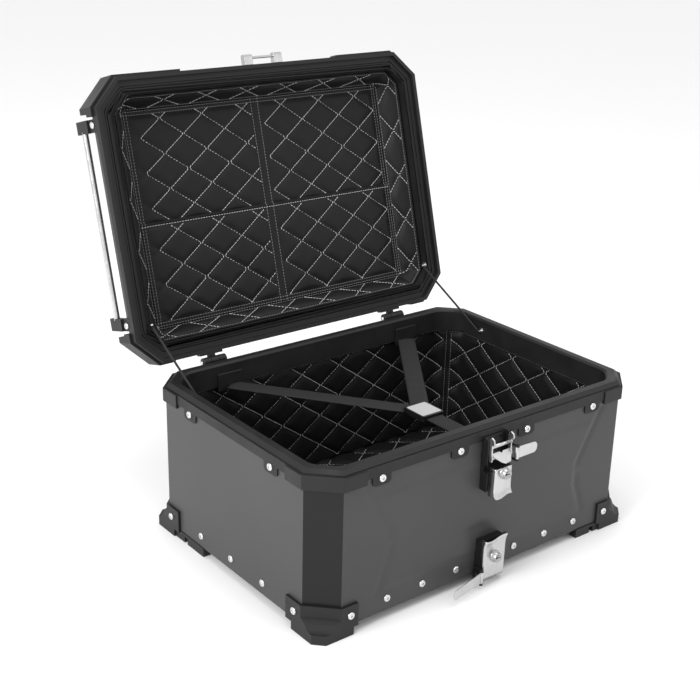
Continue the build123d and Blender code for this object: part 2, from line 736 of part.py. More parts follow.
def latches():
    """The upper latch holds the lid; the lower one, the same upside down, holds the case."""
    place = Pos(0, -half_d, upper_latch_z)
    length, half, depth = 36.5, 14.0, 10.0
    flap_low = length + 2.8
    flap_out = 20.0
    add("upper_latch_base", place * latch_base(length, half, depth, 34.0, flap_low, flap_out))
    add("upper_latch_cover", place * latch_cover(length, half, depth, 28.0, True))
    add("upper_latch_key", place * latch_key(depth, 28.0))
    add("upper_latch_hook", place * latch_hook(length, depth))
    add("upper_latch_flap", place * latch_flap(33.0, flap_low, flap_out, 0.0))

    place = Pos(0, -half_d, lower_latch_z) * Rot(0, 180, 0)
    length, half, depth = 54.0, 18.0, 4.7
    flap_low = length - 14.0
    flap_out = 16.5
    add("lower_latch_base", place * latch_base(length, half, depth, 4.0, flap_low, flap_out))
    add("lower_latch_cover", place * latch_cover(length, half, depth, 25.0, False))
    add("lower_latch_key", place * latch_key(depth, 25.0))
    tongue = block(-12, 12, -4.3, -8, length + 2.2, length + rack_tongue)
    add("lower_latch_tongue", place * tongue)
    add("lower_latch_flap", place * latch_flap(56.0, flap_low, flap_out, -12.0))


# ---------------------------------------------------------------------------
# Build and write
# ---------------------------------------------------------------------------
panels()
corner_posts()
floor_pan()
rim_caps(base_rim())
foot_guards()
add("sill_screws", screws(sill_places))
add("rim_screws", screws(rim_places))
add("guard_screws", screws(guard_places, screw_length + guard_thickness))
base_linings()
straps()
limit_cords()
hinges()
lid_shell()
lid_rim()
lid_guards()
tie_down_rails()
lid_keeper()
lid_lining()
latches()

os.makedirs("parts", exist_ok=True)
for node, shape in parts.items():
    export_step(shape, f"parts/{node}.step")
print(len(parts), "sub-parts written")
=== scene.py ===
# %% Load the frame
import json
import math

import bmesh
import bpy
import numpy as np
from mathutils import Matrix, Vector

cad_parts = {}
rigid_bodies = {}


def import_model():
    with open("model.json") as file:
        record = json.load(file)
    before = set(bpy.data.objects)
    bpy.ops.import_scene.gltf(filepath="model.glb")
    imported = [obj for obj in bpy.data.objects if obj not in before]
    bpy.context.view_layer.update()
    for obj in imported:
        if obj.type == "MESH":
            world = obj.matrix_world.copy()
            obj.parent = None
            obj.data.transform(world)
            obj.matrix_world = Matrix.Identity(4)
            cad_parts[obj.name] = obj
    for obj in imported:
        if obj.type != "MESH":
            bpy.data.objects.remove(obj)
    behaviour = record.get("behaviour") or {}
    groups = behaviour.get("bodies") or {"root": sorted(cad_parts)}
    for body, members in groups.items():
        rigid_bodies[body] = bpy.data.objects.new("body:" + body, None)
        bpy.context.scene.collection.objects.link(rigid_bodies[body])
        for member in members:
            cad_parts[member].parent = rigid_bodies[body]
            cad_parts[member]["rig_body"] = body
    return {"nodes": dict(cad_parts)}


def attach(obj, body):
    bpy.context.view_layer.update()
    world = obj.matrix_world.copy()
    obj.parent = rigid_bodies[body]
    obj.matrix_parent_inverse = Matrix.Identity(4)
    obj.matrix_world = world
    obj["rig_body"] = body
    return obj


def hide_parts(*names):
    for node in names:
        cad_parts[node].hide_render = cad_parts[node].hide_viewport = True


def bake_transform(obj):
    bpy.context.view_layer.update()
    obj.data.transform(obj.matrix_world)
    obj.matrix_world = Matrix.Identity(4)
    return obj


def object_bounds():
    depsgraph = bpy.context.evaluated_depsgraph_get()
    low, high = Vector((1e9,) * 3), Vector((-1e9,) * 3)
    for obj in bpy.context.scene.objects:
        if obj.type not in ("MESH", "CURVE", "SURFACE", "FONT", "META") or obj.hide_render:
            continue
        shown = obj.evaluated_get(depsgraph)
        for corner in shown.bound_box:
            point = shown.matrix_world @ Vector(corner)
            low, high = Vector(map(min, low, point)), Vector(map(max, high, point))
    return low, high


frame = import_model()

cad_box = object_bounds()
MM = 0.001
print("CAD box", [[round(v, 3) for v in corner] for corner in cad_box])

# %% [markdown]
# A top case is a sheet-metal box whose lid stands open here. Its main sizes are read once and shared by
# every later cell, so that the linings, the seal and the stitch lines all follow the same bevelled outline.

# %% Shared sizes, in millimetres
HALF_WIDTH = 250.0
HALF_DEPTH = 175.0
CORNER_CUT = 31.0
RIM_INSET = 16.5
RIM_TOP = 193.0
SKIRT_LOW = 162.0
LID_EDGE = 188.3
LID_CEILING = 35.7
LID_SKIRT_INSET = 19.1
HINGE_Y = 191.2
HINGE_Z = 185.3
OPEN_ANGLE = math.radians(105.4)


def plan(inset):
    """Corner points of the case's outline, moved inwards, in order round the case."""
    w = HALF_WIDTH - inset
    d = HALF_DEPTH - inset
    cut = CORNER_CUT - inset * (2 - math.sqrt(2))
    half = [(w, -d + cut), (w, d - cut), (w - cut, d), (-w + cut, d)]
    return half + [(-x, -y) for x, y in half]


def to_open(points):
    """Points drawn on the shut lid, turned to where the open lid holds them."""
    p = np.array(points, float)
    dy = p[..., 1] - HINGE_Y
    dz = p[..., 2] - HINGE_Z
    c = math.cos(OPEN_ANGLE)
    s = math.sin(OPEN_ANGLE)
    return np.stack([p[..., 0], HINGE_Y + dy * c + dz * s, HINGE_Z - dy * s + dz * c], -1)


# %% [markdown]
# Materials come first. Each is a small node tree built round one Principled shader. Noise drives the
# roughness and a fine bump, because even a plain painted sheet never reflects light evenly. The patterns
# read Object coordinates, so they stay put on a piece when it moves.

# %% Material helpers
def new_finish(name, colour, roughness, metallic=0.0, specular=0.5):
    """A material with one Principled shader set to its plain values."""
    material = bpy.data.materials.new(name)
    material.use_nodes = True
    tree = material.node_tree
    shader = tree.nodes["Principled BSDF"]
    shader.inputs["Base Color"].default_value = (*colour, 1)
    shader.inputs["Roughness"].default_value = roughness
    shader.inputs["Metallic"].default_value = metallic
    shader.inputs["Specular IOR Level"].default_value = specular
    return material, tree, shader


def coordinates(tree, scale=(1, 1, 1), source="Object"):
    """Texture coordinates stretched by a scale along each axis."""
    start = tree.nodes.new("ShaderNodeTexCoord")
    mapping = tree.nodes.new("ShaderNodeMapping")
    mapping.inputs["Scale"].default_value = scale
    tree.links.new(start.outputs[source], mapping.inputs["Vector"])
    return mapping.outputs["Vector"]


def noise(tree, vector, scale, detail=4.0):
    node = tree.nodes.new("ShaderNodeTexNoise")
    node.inputs["Scale"].default_value = scale
    node.inputs["Detail"].default_value = detail
    tree.links.new(vector, node.inputs["Vector"])
    return node.outputs["Fac"]


def spread(tree, value, low, high):
    """Map a 0 to 1 texture onto a range."""
    node = tree.nodes.new("ShaderNodeMapRange")
    node.inputs["From Min"].default_value = 0.3
    node.inputs["From Max"].default_value = 0.7
    node.inputs["To Min"].default_value = low
    node.inputs["To Max"].default_value = high
    tree.links.new(value, node.inputs["Value"])
    return node.outputs["Result"]


def tint(tree, shader, value, dark, light):
    """Colour that drifts between two tones."""
    ramp = tree.nodes.new("ShaderNodeValToRGB")
    ramp.color_ramp.elements[0].position = 0.3
    ramp.color_ramp.elements[0].color = (*dark, 1)
    ramp.color_ramp.elements[1].position = 0.7
    ramp.color_ramp.elements[1].color = (*light, 1)
    tree.links.new(value, ramp.inputs["Fac"])
    tree.links.new(ramp.outputs["Color"], shader.inputs["Base Color"])


def bump(tree, shader, value, strength, distance):
    node = tree.nodes.new("ShaderNodeBump")
    node.inputs["Strength"].default_value = strength
    node.inputs["Distance"].default_value = distance
    tree.links.new(value, node.inputs["Height"])
    tree.links.new(node.outputs["Normal"], shader.inputs["Normal"])


def grey(value):
    return (value, value, value)


# %% [markdown]
# The panels are powder-coated sheet. One flat grey would look like card, so a broad noise drifts the tone by
# a few hundredths and a very fine one breaks up the shine, as the coating's own flake does.

# %% Satin paint on the sheet metal
def satin_paint(name, level):
    material, tree, shader = new_finish(name, grey(level), 0.42, 0.0, 0.28)
    where = coordinates(tree)
    cloudy = noise(tree, where, 6.0, 2.0)
    tint(tree, shader, cloudy, grey(level * 0.93), grey(level * 1.07))
    flake = noise(tree, where, 900.0, 2.0)
    tree.links.new(spread(tree, flake, 0.36, 0.46), shader.inputs["Roughness"])
    bump(tree, shader, flake, 0.05, 0.0003)
    return material


panel_paint = satin_paint("satin_grey_paint", 0.05)
# The corner posts are the same grey sheet as the panels. Their much darker level is painted shade for the
# bevelled corners, which face away from the light.
shaded_post_paint = satin_paint("satin_paint_painted_shade", 0.007)


# %% [markdown]
# The rim, the guards and the latch bases are black mouldings with a fine pebbled grain. A cell texture gives
# the pebbles as bump only, which costs no faces and stays sharp close up.

# %% Moulded plastic with a spark-eroded grain
def moulded_plastic(name, level, rough=0.5, grain=1400.0):
    material, tree, shader = new_finish(name, grey(level), rough, 0.0, 0.3)
    where = coordinates(tree)
    pebble = tree.nodes.new("ShaderNodeTexVoronoi")
    pebble.inputs["Scale"].default_value = grain
    tree.links.new(where, pebble.inputs["Vector"])
    bump(tree, shader, pebble.outputs["Distance"], 0.12, 0.0002)
    worn = noise(tree, where, 25.0, 5.0)
    tint(tree, shader, worn, grey(level * 0.85), grey(level * 1.2))
    tree.links.new(spread(tree, worn, rough - 0.08, rough + 0.1), shader.inputs["Roughness"])
    return material


frame_plastic = moulded_plastic("rim_plastic", 0.011)
guard_plastic = moulded_plastic("guard_plastic", 0.012, 0.45)
latch_plastic = moulded_plastic("latch_plastic", 0.009, 0.38)
buckle_plastic = moulded_plastic("buckle_plastic", 0.008, 0.35)


# %% [markdown]
# Latches, screws and rails are bright metal. Brushing leaves fine lines, so the noise is squashed along one
# axis. The buckle's plate has a dull plating instead, which shows its own colour and mirrors nothing.

# %% Bright metals
def bright_metal(name, level, rough, stretch=(1, 1, 1)):
    """Steel or aluminium with fine lines along the short axis of the stretch."""
    material, tree, shader = new_finish(name, grey(level), rough, 1.0)
    lines = noise(tree, coordinates(tree, stretch), 300.0, 6.0)
    tree.links.new(spread(tree, lines, rough - 0.07, rough + 0.09), shader.inputs["Roughness"])
    bump(tree, shader, lines, 0.04, 0.0002)
    handled = noise(tree, coordinates(tree), 40.0, 3.0)
    tint(tree, shader, handled, grey(level * 0.93), grey(min(level * 1.05, 1.0)))
    return material


latch_steel = bright_metal("latch_brushed_steel", 0.56, 0.3, (1, 1, 0.06))
screw_steel = bright_metal("screw_plated_steel", 0.7, 0.22)
lock_steel = bright_metal("lock_turned_steel", 0.42, 0.3)
rail_metal = bright_metal("rail_polished_tube", 0.62, 0.2, (1, 0.05, 1))
keeper_steel = bright_metal("keeper_plated_steel", 0.5, 0.25)
buckle_zinc, _, _ = new_finish("buckle_dull_zinc", grey(0.42), 0.5, 0.0)


# %% [markdown]
# The soft finishes follow. Leatherette has a net of small creases, thread is twisted, webbing is woven in
# slanting rows that read the strap's own UV, and rubber is dusty.

# %% Leatherette, thread, webbing, cord and rubber
def leatherette(name, level):
    material, tree, shader = new_finish(name, grey(level), 0.48, 0.0, 0.18)
    where = coordinates(tree)
    cells = tree.nodes.new("ShaderNodeTexVoronoi")
    cells.feature = "DISTANCE_TO_EDGE"
    cells.inputs["Scale"].default_value = 700.0
    tree.links.new(where, cells.inputs["Vector"])
    bump(tree, shader, cells.outputs["Distance"], 0.3, 0.0004)
    patch = noise(tree, where, 18.0, 4.0)
    tint(tree, shader, patch, grey(level * 0.85), grey(level * 1.2))
    tree.links.new(spread(tree, patch, 0.42, 0.55), shader.inputs["Roughness"])
    return material


def spun_thread(name, level):
    material, tree, shader = new_finish(name, grey(level), 0.6, 0.0, 0.3)
    twist = noise(tree, coordinates(tree), 2500.0, 2.0)
    tint(tree, shader, twist, grey(level * 0.8), grey(min(1.0, level * 1.15)))
    bump(tree, shader, twist, 0.3, 0.0002)
    return material


def woven_webbing(name, level):
    """Diagonal rows of a flat weave, laid out in the strap's own UV, which is in metres."""
    material, tree, shader = new_finish(name, grey(level), 0.75, 0.0, 0.25)
    where = coordinates(tree, (1, 1, 1), "UV")
    weave = tree.nodes.new("ShaderNodeTexWave")
    weave.bands_direction = "DIAGONAL"
    weave.inputs["Scale"].default_value = 160.0
    weave.inputs["Distortion"].default_value = 0.6
    tree.links.new(where, weave.inputs["Vector"])
    bump(tree, shader, weave.outputs["Fac"], 0.5, 0.0005)
    tint(tree, shader, weave.outputs["Fac"], grey(level * 0.75), grey(level * 1.25))
    return material


def soft_rubber(name, level):
    material, tree, shader = new_finish(name, grey(level), 0.62, 0.0, 0.35)
    dust = noise(tree, coordinates(tree), 60.0, 5.0)
    tint(tree, shader, dust, grey(level * 0.8), grey(level * 1.5))
    bump(tree, shader, dust, 0.1, 0.0003)
    return material


lining_leather = leatherette("quilted_leatherette", 0.009)
quilt_thread = spun_thread("pale_quilting_thread", 0.62)
seam_thread = spun_thread("grey_seam_thread", 0.24)
strap_webbing = woven_webbing("luggage_webbing", 0.018)
cord_braid = woven_webbing("limit_cord_braid", 0.02)
seal_rubber = soft_rubber("seal_rubber", 0.008)
print(len(bpy.data.materials), "materials")

# %% [markdown]
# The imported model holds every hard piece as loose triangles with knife-sharp edges. Real mouldings and
# stampings always have a small radius that catches a thin highlight. So each hard node gets a welded copy
# whose flat areas are joined back into whole faces, and a Bevel modifier rounds what is left.

# %% Rounded copies of the hard nodes
def body_of(node):
    return frame["nodes"][node]["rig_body"]


def place(obj, material, node):
    """Link a piece, give it its finish and let it ride with its node's body."""
    if obj.name not in bpy.context.scene.collection.objects:
        bpy.context.scene.collection.objects.link(obj)
    if material is not None:
        obj.data.materials.clear()
        obj.data.materials.append(material)
    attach(obj, body_of(node))
    return obj


def weigh_corners(work, shut):
    """Mark the edges that run up the mouth's bevelled corners, for a wide rounding."""
    layer = work.edges.layers.float.new("bevel_weight_edge")
    pivot = Vector((0, HINGE_Y, HINGE_Z)) * MM
    for edge in work.edges:
        run = shut @ (edge.verts[1].co - edge.verts[0].co)
        if len(edge.link_faces) != 2 or abs(run.z) < 0.5 * run.length:
            continue
        at = edge.verts[0].co
        if shut != Matrix.Identity(3):
            at = shut @ (at - pivot) + pivot
        inset = min(HALF_WIDTH - abs(at.x) / MM, HALF_DEPTH - abs(at.y) / MM)
        if inset > 10 and 30 < math.degrees(edge.calc_face_angle(0)) < 60:
            edge[layer] = 1.0


def rounded_copy(node, material, radius, corner_round=0.0, turned=False):
    """A welded copy of a CAD node with soft edges."""
    source = frame["nodes"][node]
    mesh = bpy.data.meshes.new(node + "_soft")
    work = bmesh.new()
    work.from_mesh(source.data)
    bmesh.ops.remove_doubles(work, verts=work.verts, dist=0.02 * MM)
    shut = Matrix.Rotation(OPEN_ANGLE, 3, "X") if turned else Matrix.Identity(3)
    level = [face for face in work.faces if corner_round and abs((shut @ face.normal).z) > 0.9]
    keep = {edge for face in level for edge in face.edges}
    joined = [edge for edge in work.edges if edge not in keep]
    verts = [] if corner_round else work.verts
    bmesh.ops.dissolve_limit(work, angle_limit=math.radians(1.0), verts=verts, edges=joined)
    for face in work.faces:
        face.smooth = True
    if corner_round:
        weigh_corners(work, shut)
    work.to_mesh(mesh)
    work.free()
    obj = bpy.data.objects.new(node + "_piece", mesh)
    place(obj, material, node)
    if corner_round:
        sweep = obj.modifiers.new("swept_corners", "BEVEL")
        sweep.width = corner_round * MM
        sweep.segments = 5
        sweep.limit_method = "WEIGHT"
        sweep.use_clamp_overlap = True
    edge = obj.modifiers.new("rounded_edges", "BEVEL")
    edge.width = radius * MM
    edge.segments = 2
    edge.limit_method = "ANGLE"
    edge.angle_limit = math.radians(32)
    edge.use_clamp_overlap = True
    shade = obj.modifiers.new("clean_shading", "WEIGHTED_NORMAL")
    shade.keep_sharp = True
    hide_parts(node)


RIM_EDGE = 0.5           # small radius on every edge of the two rims
RIM_SWEEP = 9.0          # wide radius up the mouth's bevelled corners
hard_nodes = [
    (["panel_back", "panel_left", "panel_right"], panel_paint, 0.4),
    (["lid_shell"], panel_paint, 1.2),
    (["floor_pan"], panel_paint, 0.4),
    # corner posts: the panels' grey sheet, darkened as painted shade
    ([f"corner_post_{c}" for c in ("fl", "fr", "bl", "br")], shaded_post_paint, 0.5),
    ([f"rim_cap_{c}" for c in ("fl", "fr", "bl", "br")], guard_plastic, 1.2),
    ([f"lid_guard_{c}" for c in ("fl", "fr", "bl", "br")], guard_plastic, 1.5),
    ([f"foot_guard_{c}" for c in ("fl", "fr", "bl", "br")], guard_plastic, 1.2),
    (["hinge_base_left", "hinge_base_right", "hinge_lid_left", "hinge_lid_right"], latch_plastic, 0.5),
    (["rail_brackets"], guard_plastic, 1.2),
    (["rail_left", "rail_right"], rail_metal, 0.6),
    (["lid_keeper"], keeper_steel, 0.5),
    (["hinge_pins", "cord_base_eyes", "cord_lid_eyes"], screw_steel, 0.3),
    (["strap_anchors"], guard_plastic, 0.8),
    (["upper_latch_base", "lower_latch_base"], latch_plastic, 0.5),
    (["lower_latch_tongue"], latch_steel, 0.4),
    (["sill_screws", "rim_screws", "guard_screws", "rail_screws"], screw_steel, 0.25),
]
for nodes, finish, radius in hard_nodes:
    for node in nodes:
        rounded_copy(node, finish, radius)
rounded_copy("base_rim", frame_plastic, RIM_EDGE, RIM_SWEEP)
rounded_copy("lid_rim", frame_plastic, RIM_EDGE, RIM_SWEEP, True)
print(sum(len(nodes) for nodes, _, _ in hard_nodes) + 2, "hard nodes rounded")

# %% [markdown]
# Sewn cloth, pressed sheet and folded plate are all drawn the same way: as rows of points that are joined
# into one smooth grid. The points carry the shape, so no sculpting is needed. UV is measured in metres.

# %% Building a surface from a grid of points
def grid_piece(name, points, material, node, thickness=0.0, wrap=False, facing=None):
    """A smooth sheet through a grid of points in millimetres, its front towards the point facing."""
    rows, columns = points.shape[:2]
    mesh = bpy.data.meshes.new(name)
    faces = []
    span = columns if wrap else columns - 1
    for i in range(rows - 1):
        for j in range(span):
            a = i * columns + j
            b = i * columns + (j + 1) % columns
            faces.append((a, b, b + columns, a + columns))
    mesh.from_pydata((points.reshape(-1, 3) * MM).tolist(), [], faces)
    along = np.concatenate([[0], np.cumsum(np.linalg.norm(np.diff(points, axis=1), axis=2).mean(0))])
    across = np.concatenate([[0], np.cumsum(np.linalg.norm(np.diff(points, axis=0), axis=2).mean(1))])
    layer = mesh.uv_layers.new(name="cloth")
    for loop in mesh.loops:
        i, j = divmod(loop.vertex_index, columns)
        layer.data[loop.index].uv = (along[j] * MM, across[i] * MM)
    if facing is not None:
        eye = Vector(facing) * MM
        seen = sum((eye - face.center).dot(face.normal) * face.area for face in mesh.polygons)
        if seen < 0:
            mesh.flip_normals()
    mesh.polygons.foreach_set("use_smooth", [True] * len(mesh.polygons))
    obj = bpy.data.objects.new(name, mesh)
    place(obj, material, node)
    if thickness:
        skin = obj.modifiers.new("cloth_thickness", "SOLIDIFY")
        skin.thickness = thickness * MM
        skin.offset = -1
    return obj


INSIDE = (0.0, 0.0, 110.0)
BEFORE_LID = tuple(to_open((0.0, 0.0, 100.0)))


# %% [markdown]
# The front panel is stiffened by a shallow pressing: a raised field whose two ends are bent inwards like
# arrowheads. The sheet is drawn as a fine grid and lifted by its distance inside that outline.

# %% The pressed front panel
def step(distance, width):
    """0 well outside an edge, 1 well inside it."""
    t = np.clip(distance / width + 0.5, 0, 1)
    return t * t * (3 - 2 * t)


def pressing(x, z):
    """How far the front panel is pressed out at x, z."""
    waist = 146.0 + np.maximum(z - 100, 0) * 0.55 + np.maximum(70 - z, 0) * 0.35
    field = step(waist - np.abs(x), 9.0) * step(z - 30, 10.0) * step(150 - z, 10.0)
    rib = np.exp(-((np.abs(x) - waist - 6) / 5.0) ** 2) * step(z - 24, 8.0) * step(168 - z, 8.0)
    break_out = np.exp(-((z - 90) / 7.0) ** 2)
    dent = np.exp(-((x + 30) / 16.0) ** 2 - ((z - 128) / 14.0) ** 2)
    dent = dent + np.exp(-((x + 14) / 20.0) ** 2 - ((z - 60) / 7.0) ** 2)
    return 0.9 * field - 1.3 * rib * (1 - break_out) - 1.1 * dent


flat_half = HALF_WIDTH - CORNER_CUT
sheet_x, sheet_z = np.meshgrid(np.linspace(-flat_half, flat_half, 220), np.linspace(0, 187, 94))
to_border = np.minimum(sheet_z - 24, 176 - sheet_z)
settle = step(np.minimum(flat_half - 8 - np.abs(sheet_x), to_border), 12.0)
sheet_y = -HALF_DEPTH - settle * pressing(sheet_x, sheet_z)
front = grid_piece("panel_front_pressed", np.stack([sheet_x, sheet_y, sheet_z], -1), panel_paint,
                   "panel_front", 1.5, False, (0.0, -900.0, 90.0))
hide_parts("panel_front")
print("front panel", len(front.data.polygons), "faces")

# %% [markdown]
# The latches are pressed steel. A cover is one folded plate: two cheeks, a flat face with small radii at
# the folds, and a lip that flares out and ends in a gentle wave for the finger. The plate is drawn as rows
# of one cross-section from the hinge down to the lip.

# %% Latch covers
def folded_cover(name, node, half, hinge_z, lip_z, front_y, back_y, wave_rise):
    """A channel-shaped cover from its hinge end to a flared, wavy lip."""
    radius = 2.2
    turn = np.linspace(0, math.pi / 2, 6)
    left_x = np.concatenate([[-half, -half], -half + radius * (1 - np.cos(turn))])
    left_y = np.concatenate([[back_y, (back_y + front_y) / 2], front_y + radius * (1 - np.sin(turn))])
    middle_x = np.linspace(-half + radius + 1, half - radius - 1, 14)
    section_x = np.concatenate([left_x, middle_x, -left_x[::-1]])
    section_y = np.concatenate([left_y, np.full(14, front_y), left_y[::-1]])
    rows = []
    for t in np.linspace(0, 1, 22):
        flare = 3.2 * max(0.0, (t - 0.72) / 0.28) ** 2
        wave = wave_rise * np.sin(section_x / half * math.pi * 0.9) * max(0.0, (t - 0.5) / 0.5) ** 2
        shrink = 1 - 0.04 * (1 - t)
        y = section_y - flare * (section_y < front_y + 3)
        rows.append(np.stack([section_x * shrink, y, hinge_z + (lip_z - hinge_z) * t + wave], -1))
    in_front = (0, -900, (hinge_z + lip_z) / 2)
    cover = grid_piece(name, np.array(rows), latch_steel, node, 1.2, False, in_front)
    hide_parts(node)
    print(name, len(cover.data.polygons), "faces")


folded_cover("upper_cover_plate", "upper_latch_cover", 14.0, 144.5, 108.5, -196.3, -186.6, 1.8)
folded_cover("lower_cover_plate", "lower_latch_cover", 18.0, -2.5, 50.5, -191.2, -186.4, 1.8)


# %% [markdown]
# A key cylinder is a turned part, so it is drawn as a profile of radii and reaches and carried round an axis.
# That gives the stepped collar and the dished face in one piece. The key slot is a dark bar laid across it,
# painted shade standing in for the shade inside the keyway.

# %% Turned locks
def turned(name, node, centre, profile, finish):
    """A piece turned on an axis that points out of the front, from (radius, reach) pairs."""
    angles = np.linspace(0, 2 * math.pi, 33)[:-1]
    rows = []
    for radius, reach in profile:
        ring = [(centre[0] + radius * math.cos(a), centre[1] - reach, centre[2] + radius * math.sin(a))
                for a in angles]
        rows.append(ring)
    piece = grid_piece(name, np.array(rows), finish, node, 0.0, True)
    if piece.data.polygons[0].normal.dot(piece.data.polygons[0].center - Vector(centre) * MM) < 0:
        piece.data.flip_normals()
    return piece


def bar(name, node, start, end, radius, finish):
    """A round bar with closed ends."""
    a = Vector(start)
    b = Vector(end)
    mesh = bpy.data.meshes.new(name)
    work = bmesh.new()
    bmesh.ops.create_cone(work, cap_ends=True, segments=20, radius1=radius * MM, radius2=radius * MM,
                          depth=(b - a).length * MM)
    work.to_mesh(mesh)
    work.free()
    for polygon in mesh.polygons:
        polygon.use_smooth = len(polygon.vertices) == 4
    spin = (b - a).to_track_quat("Z", "Y").to_matrix().to_4x4()
    mesh.transform(Matrix.Translation((a + b) / 2 * MM) @ spin)
    return place(bpy.data.objects.new(name, mesh), finish, node)


def lock(name, node, centre):
    """A lock cylinder with a stepped collar, a dished face and a dark bar of painted shade for the key slot.
    """
    profile = [(7.4, -0.4), (7.4, 1.2), (6.9, 1.8), (6.2, 2.0), (6.1, 6.4), (5.6, 7.1), (4.8, 7.1),
               (4.5, 6.4), (0.6, 6.4), (0.01, 6.4)]
    cylinder = turned(name + "_cylinder", node, centre, profile, lock_steel)
    # the key slot is a dark plastic bar: painted shade for the keyway's recess
    slot_shade_y = centre[1] - 6.3
    bar(name + "_slot", node, (centre[0] - 3.4, slot_shade_y, centre[2]), (centre[0] + 3.4, slot_shade_y, centre[2]),
        0.6, latch_plastic)
    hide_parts(node)
    print(name, len(cylinder.data.polygons), "faces")


lock("upper_lock", "upper_latch_key", (0.0, -196.3, 138.0))
lock("lower_lock", "lower_latch_key", (0.0, -191.0, 25.0))

# %% [markdown]
# Flat latch pieces are cut from an outline. The outline is filled, its border kept as a raised rim by
# pushing the inset middle back, and the whole given the sheet's thickness.

# %% Plates with a raised rim
def rimmed_plate(name, node, outline, to_world, rim, sink, thick, finish):
    """A plate from an outline in its own plane, with its middle sunk behind a rim."""
    mesh = bpy.data.meshes.new(name)
    work = bmesh.new()
    face = work.faces.new([work.verts.new((x * MM, 0, z * MM)) for x, z in outline])
    if face.normal.y > 0 or face.calc_area() == 0:
        face.normal_flip()
    if sink:
        bmesh.ops.inset_region(work, faces=[face], thickness=rim * MM, use_even_offset=True)
        bmesh.ops.inset_region(work, faces=[face], thickness=0.5 * MM, depth=-sink * MM)
    work.to_mesh(mesh)
    work.free()
    mesh.transform(to_world)
    obj = bpy.data.objects.new(name, mesh)
    place(obj, finish, node)
    skin = obj.modifiers.new("sheet", "SOLIDIFY")
    skin.thickness = thick * MM
    skin.offset = -1
    soft = obj.modifiers.new("rounded_edges", "BEVEL")
    soft.width = 0.35 * MM
    soft.segments = 2
    return obj


def rounded_end(length, low, high, radius):
    """A strip's outline: square at x = 0, rounded at the far end."""
    points = [(0.0, low)]
    for k in range(9):
        a = -math.pi / 2 + math.pi / 2 * k / 8
        points.append((length - radius + radius * math.cos(a), low + radius + radius * math.sin(a)))
    for k in range(9):
        a = math.pi / 2 * k / 8
        points.append((length - radius + radius * math.cos(a), high - radius + radius * math.sin(a)))
    return points + [(0.0, high)]


def flap(name, node, length, axis, low, turn, taper):
    """A swing-out lever: an upright barrel with a rimmed, round-ended plate."""
    to_world = Matrix.Translation(Vector((axis[0], axis[1], low)) * MM) @ Matrix.Rotation(turn, 4, "Z")
    to_world = to_world @ Matrix.Translation(Vector((0, -1.8, 0)) * MM)
    outline = [(x, z - taper * x / length * (1 if z > 7.5 else -0.4)) for x, z in
               rounded_end(length, 0.0, 15.0, 5.5)]
    plate = rimmed_plate(name + "_plate", node, outline, to_world, 1.0, 1.6, 1.1, latch_steel)
    angles = np.linspace(0, 2 * math.pi, 25)[:-1]
    rows = [[(axis[0] + r * math.cos(a), axis[1] + r * math.sin(a), low + z) for a in angles]
            for r, z in ((1.3, 0.0), (2.4, 0.0), (2.7, 0.4), (2.7, 14.6), (2.4, 15.0), (1.3, 15.0))]
    barrel = grid_piece(name + "_barrel", np.array(rows), latch_steel, node, 0.0, True)
    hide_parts(node)
    print(name, len(barrel.data.polygons), "barrel faces")


flap("upper_flap", "upper_latch_flap", 33.0, (20.7, -195.0), 149.8, 0.0, 1.0)
flap("lower_flap", "lower_latch_flap", 56.0, (-20.7, -191.5), -5.0, math.radians(180 + 12), 2.0)

# %% [markdown]
# The hook pulls the lid down. Two arms curl forward at the top, a bar joins them and a wavy tongue hangs
# between. Each arm is one outline pushed sideways to the sheet's thickness, which keeps its curl exact.

# %% The upper latch's hook
def claw(name, x):
    """One side of the hook: an upright arm that curls forward at its top."""
    outline = [(-186.5, 153), (-191.0, 153), (-192.0, 158), (-190.6, 163), (-190.6, 174), (-193.0, 175),
               (-194.2, 177.5), (-193.0, 182), (-188.6, 184.0), (-185.0, 181), (-184.4, 166), (-186.4, 158)]
    mesh = bpy.data.meshes.new(name)
    work = bmesh.new()
    face = work.faces.new([work.verts.new((x * MM, y * MM, z * MM)) for y, z in outline])
    moved = bmesh.ops.extrude_face_region(work, geom=[face])["geom"]
    far_side = [v for v in moved if isinstance(v, bmesh.types.BMVert)]
    bmesh.ops.translate(work, verts=far_side, vec=(2.2 * MM, 0, 0))
    bmesh.ops.recalc_face_normals(work, faces=work.faces)
    work.to_mesh(mesh)
    work.free()
    obj = place(bpy.data.objects.new(name, mesh), latch_steel, "upper_latch_hook")
    soft = obj.modifiers.new("rounded_edges", "BEVEL")
    soft.width = 0.7 * MM
    soft.segments = 3
    return obj


left_claw = claw("hook_claw_left", -16.6)
claw("hook_claw_right", 14.4)
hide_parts("upper_latch_hook")
bar("hook_crossbar", "upper_latch_hook", (-15, -188.6, 171.5), (15, -188.6, 171.5), 2.1, latch_steel)
tongue_outline = [(-15, 0), (-13, -5), (-5, -13), (0, -16), (9, -15), (14, -6), (15, 0),
                  (4, 0), (1, -2.5), (-2, 0)]
lean = Matrix.Translation(Vector((0, -188.5, 163.0)) * MM) @ Matrix.Rotation(math.radians(-38), 4, "X")
rimmed_plate("hook_tongue", "upper_latch_hook", tongue_outline, lean, 0.8, 0.0, 1.4, latch_steel)
bar("hook_link_pin", "upper_latch_hook", (-15, -188.0, 156.0), (15, -188.0, 156.0), 1.4, latch_steel)
print("hook made of two claws, two bars and a tongue")

# %% [markdown]
# The lining is foam-backed leatherette, sewn in a diamond pattern. The seams run as zigzags that almost
# touch at their turns, so each crossing looks like two back-to-back brackets. The surface is a fine grid
# that rises between the seams: its height grows with the distance to the nearest zigzag.

# %% The quilting pattern
COLUMN = 31.8            # a zigzag's width
TURN = 45.3              # height of one diamond
TURN_GAP = 1.2           # how far a turn stops short of its neighbour
PUFF = 3.2               # height of the padding between seams
QUILT_STITCH = (4.2, 3.9)          # pitch and length of a quilting stitch
SEAM_STITCH = (4.0, 2.9, 0.42)     # pitch, length and radius of a joining stitch


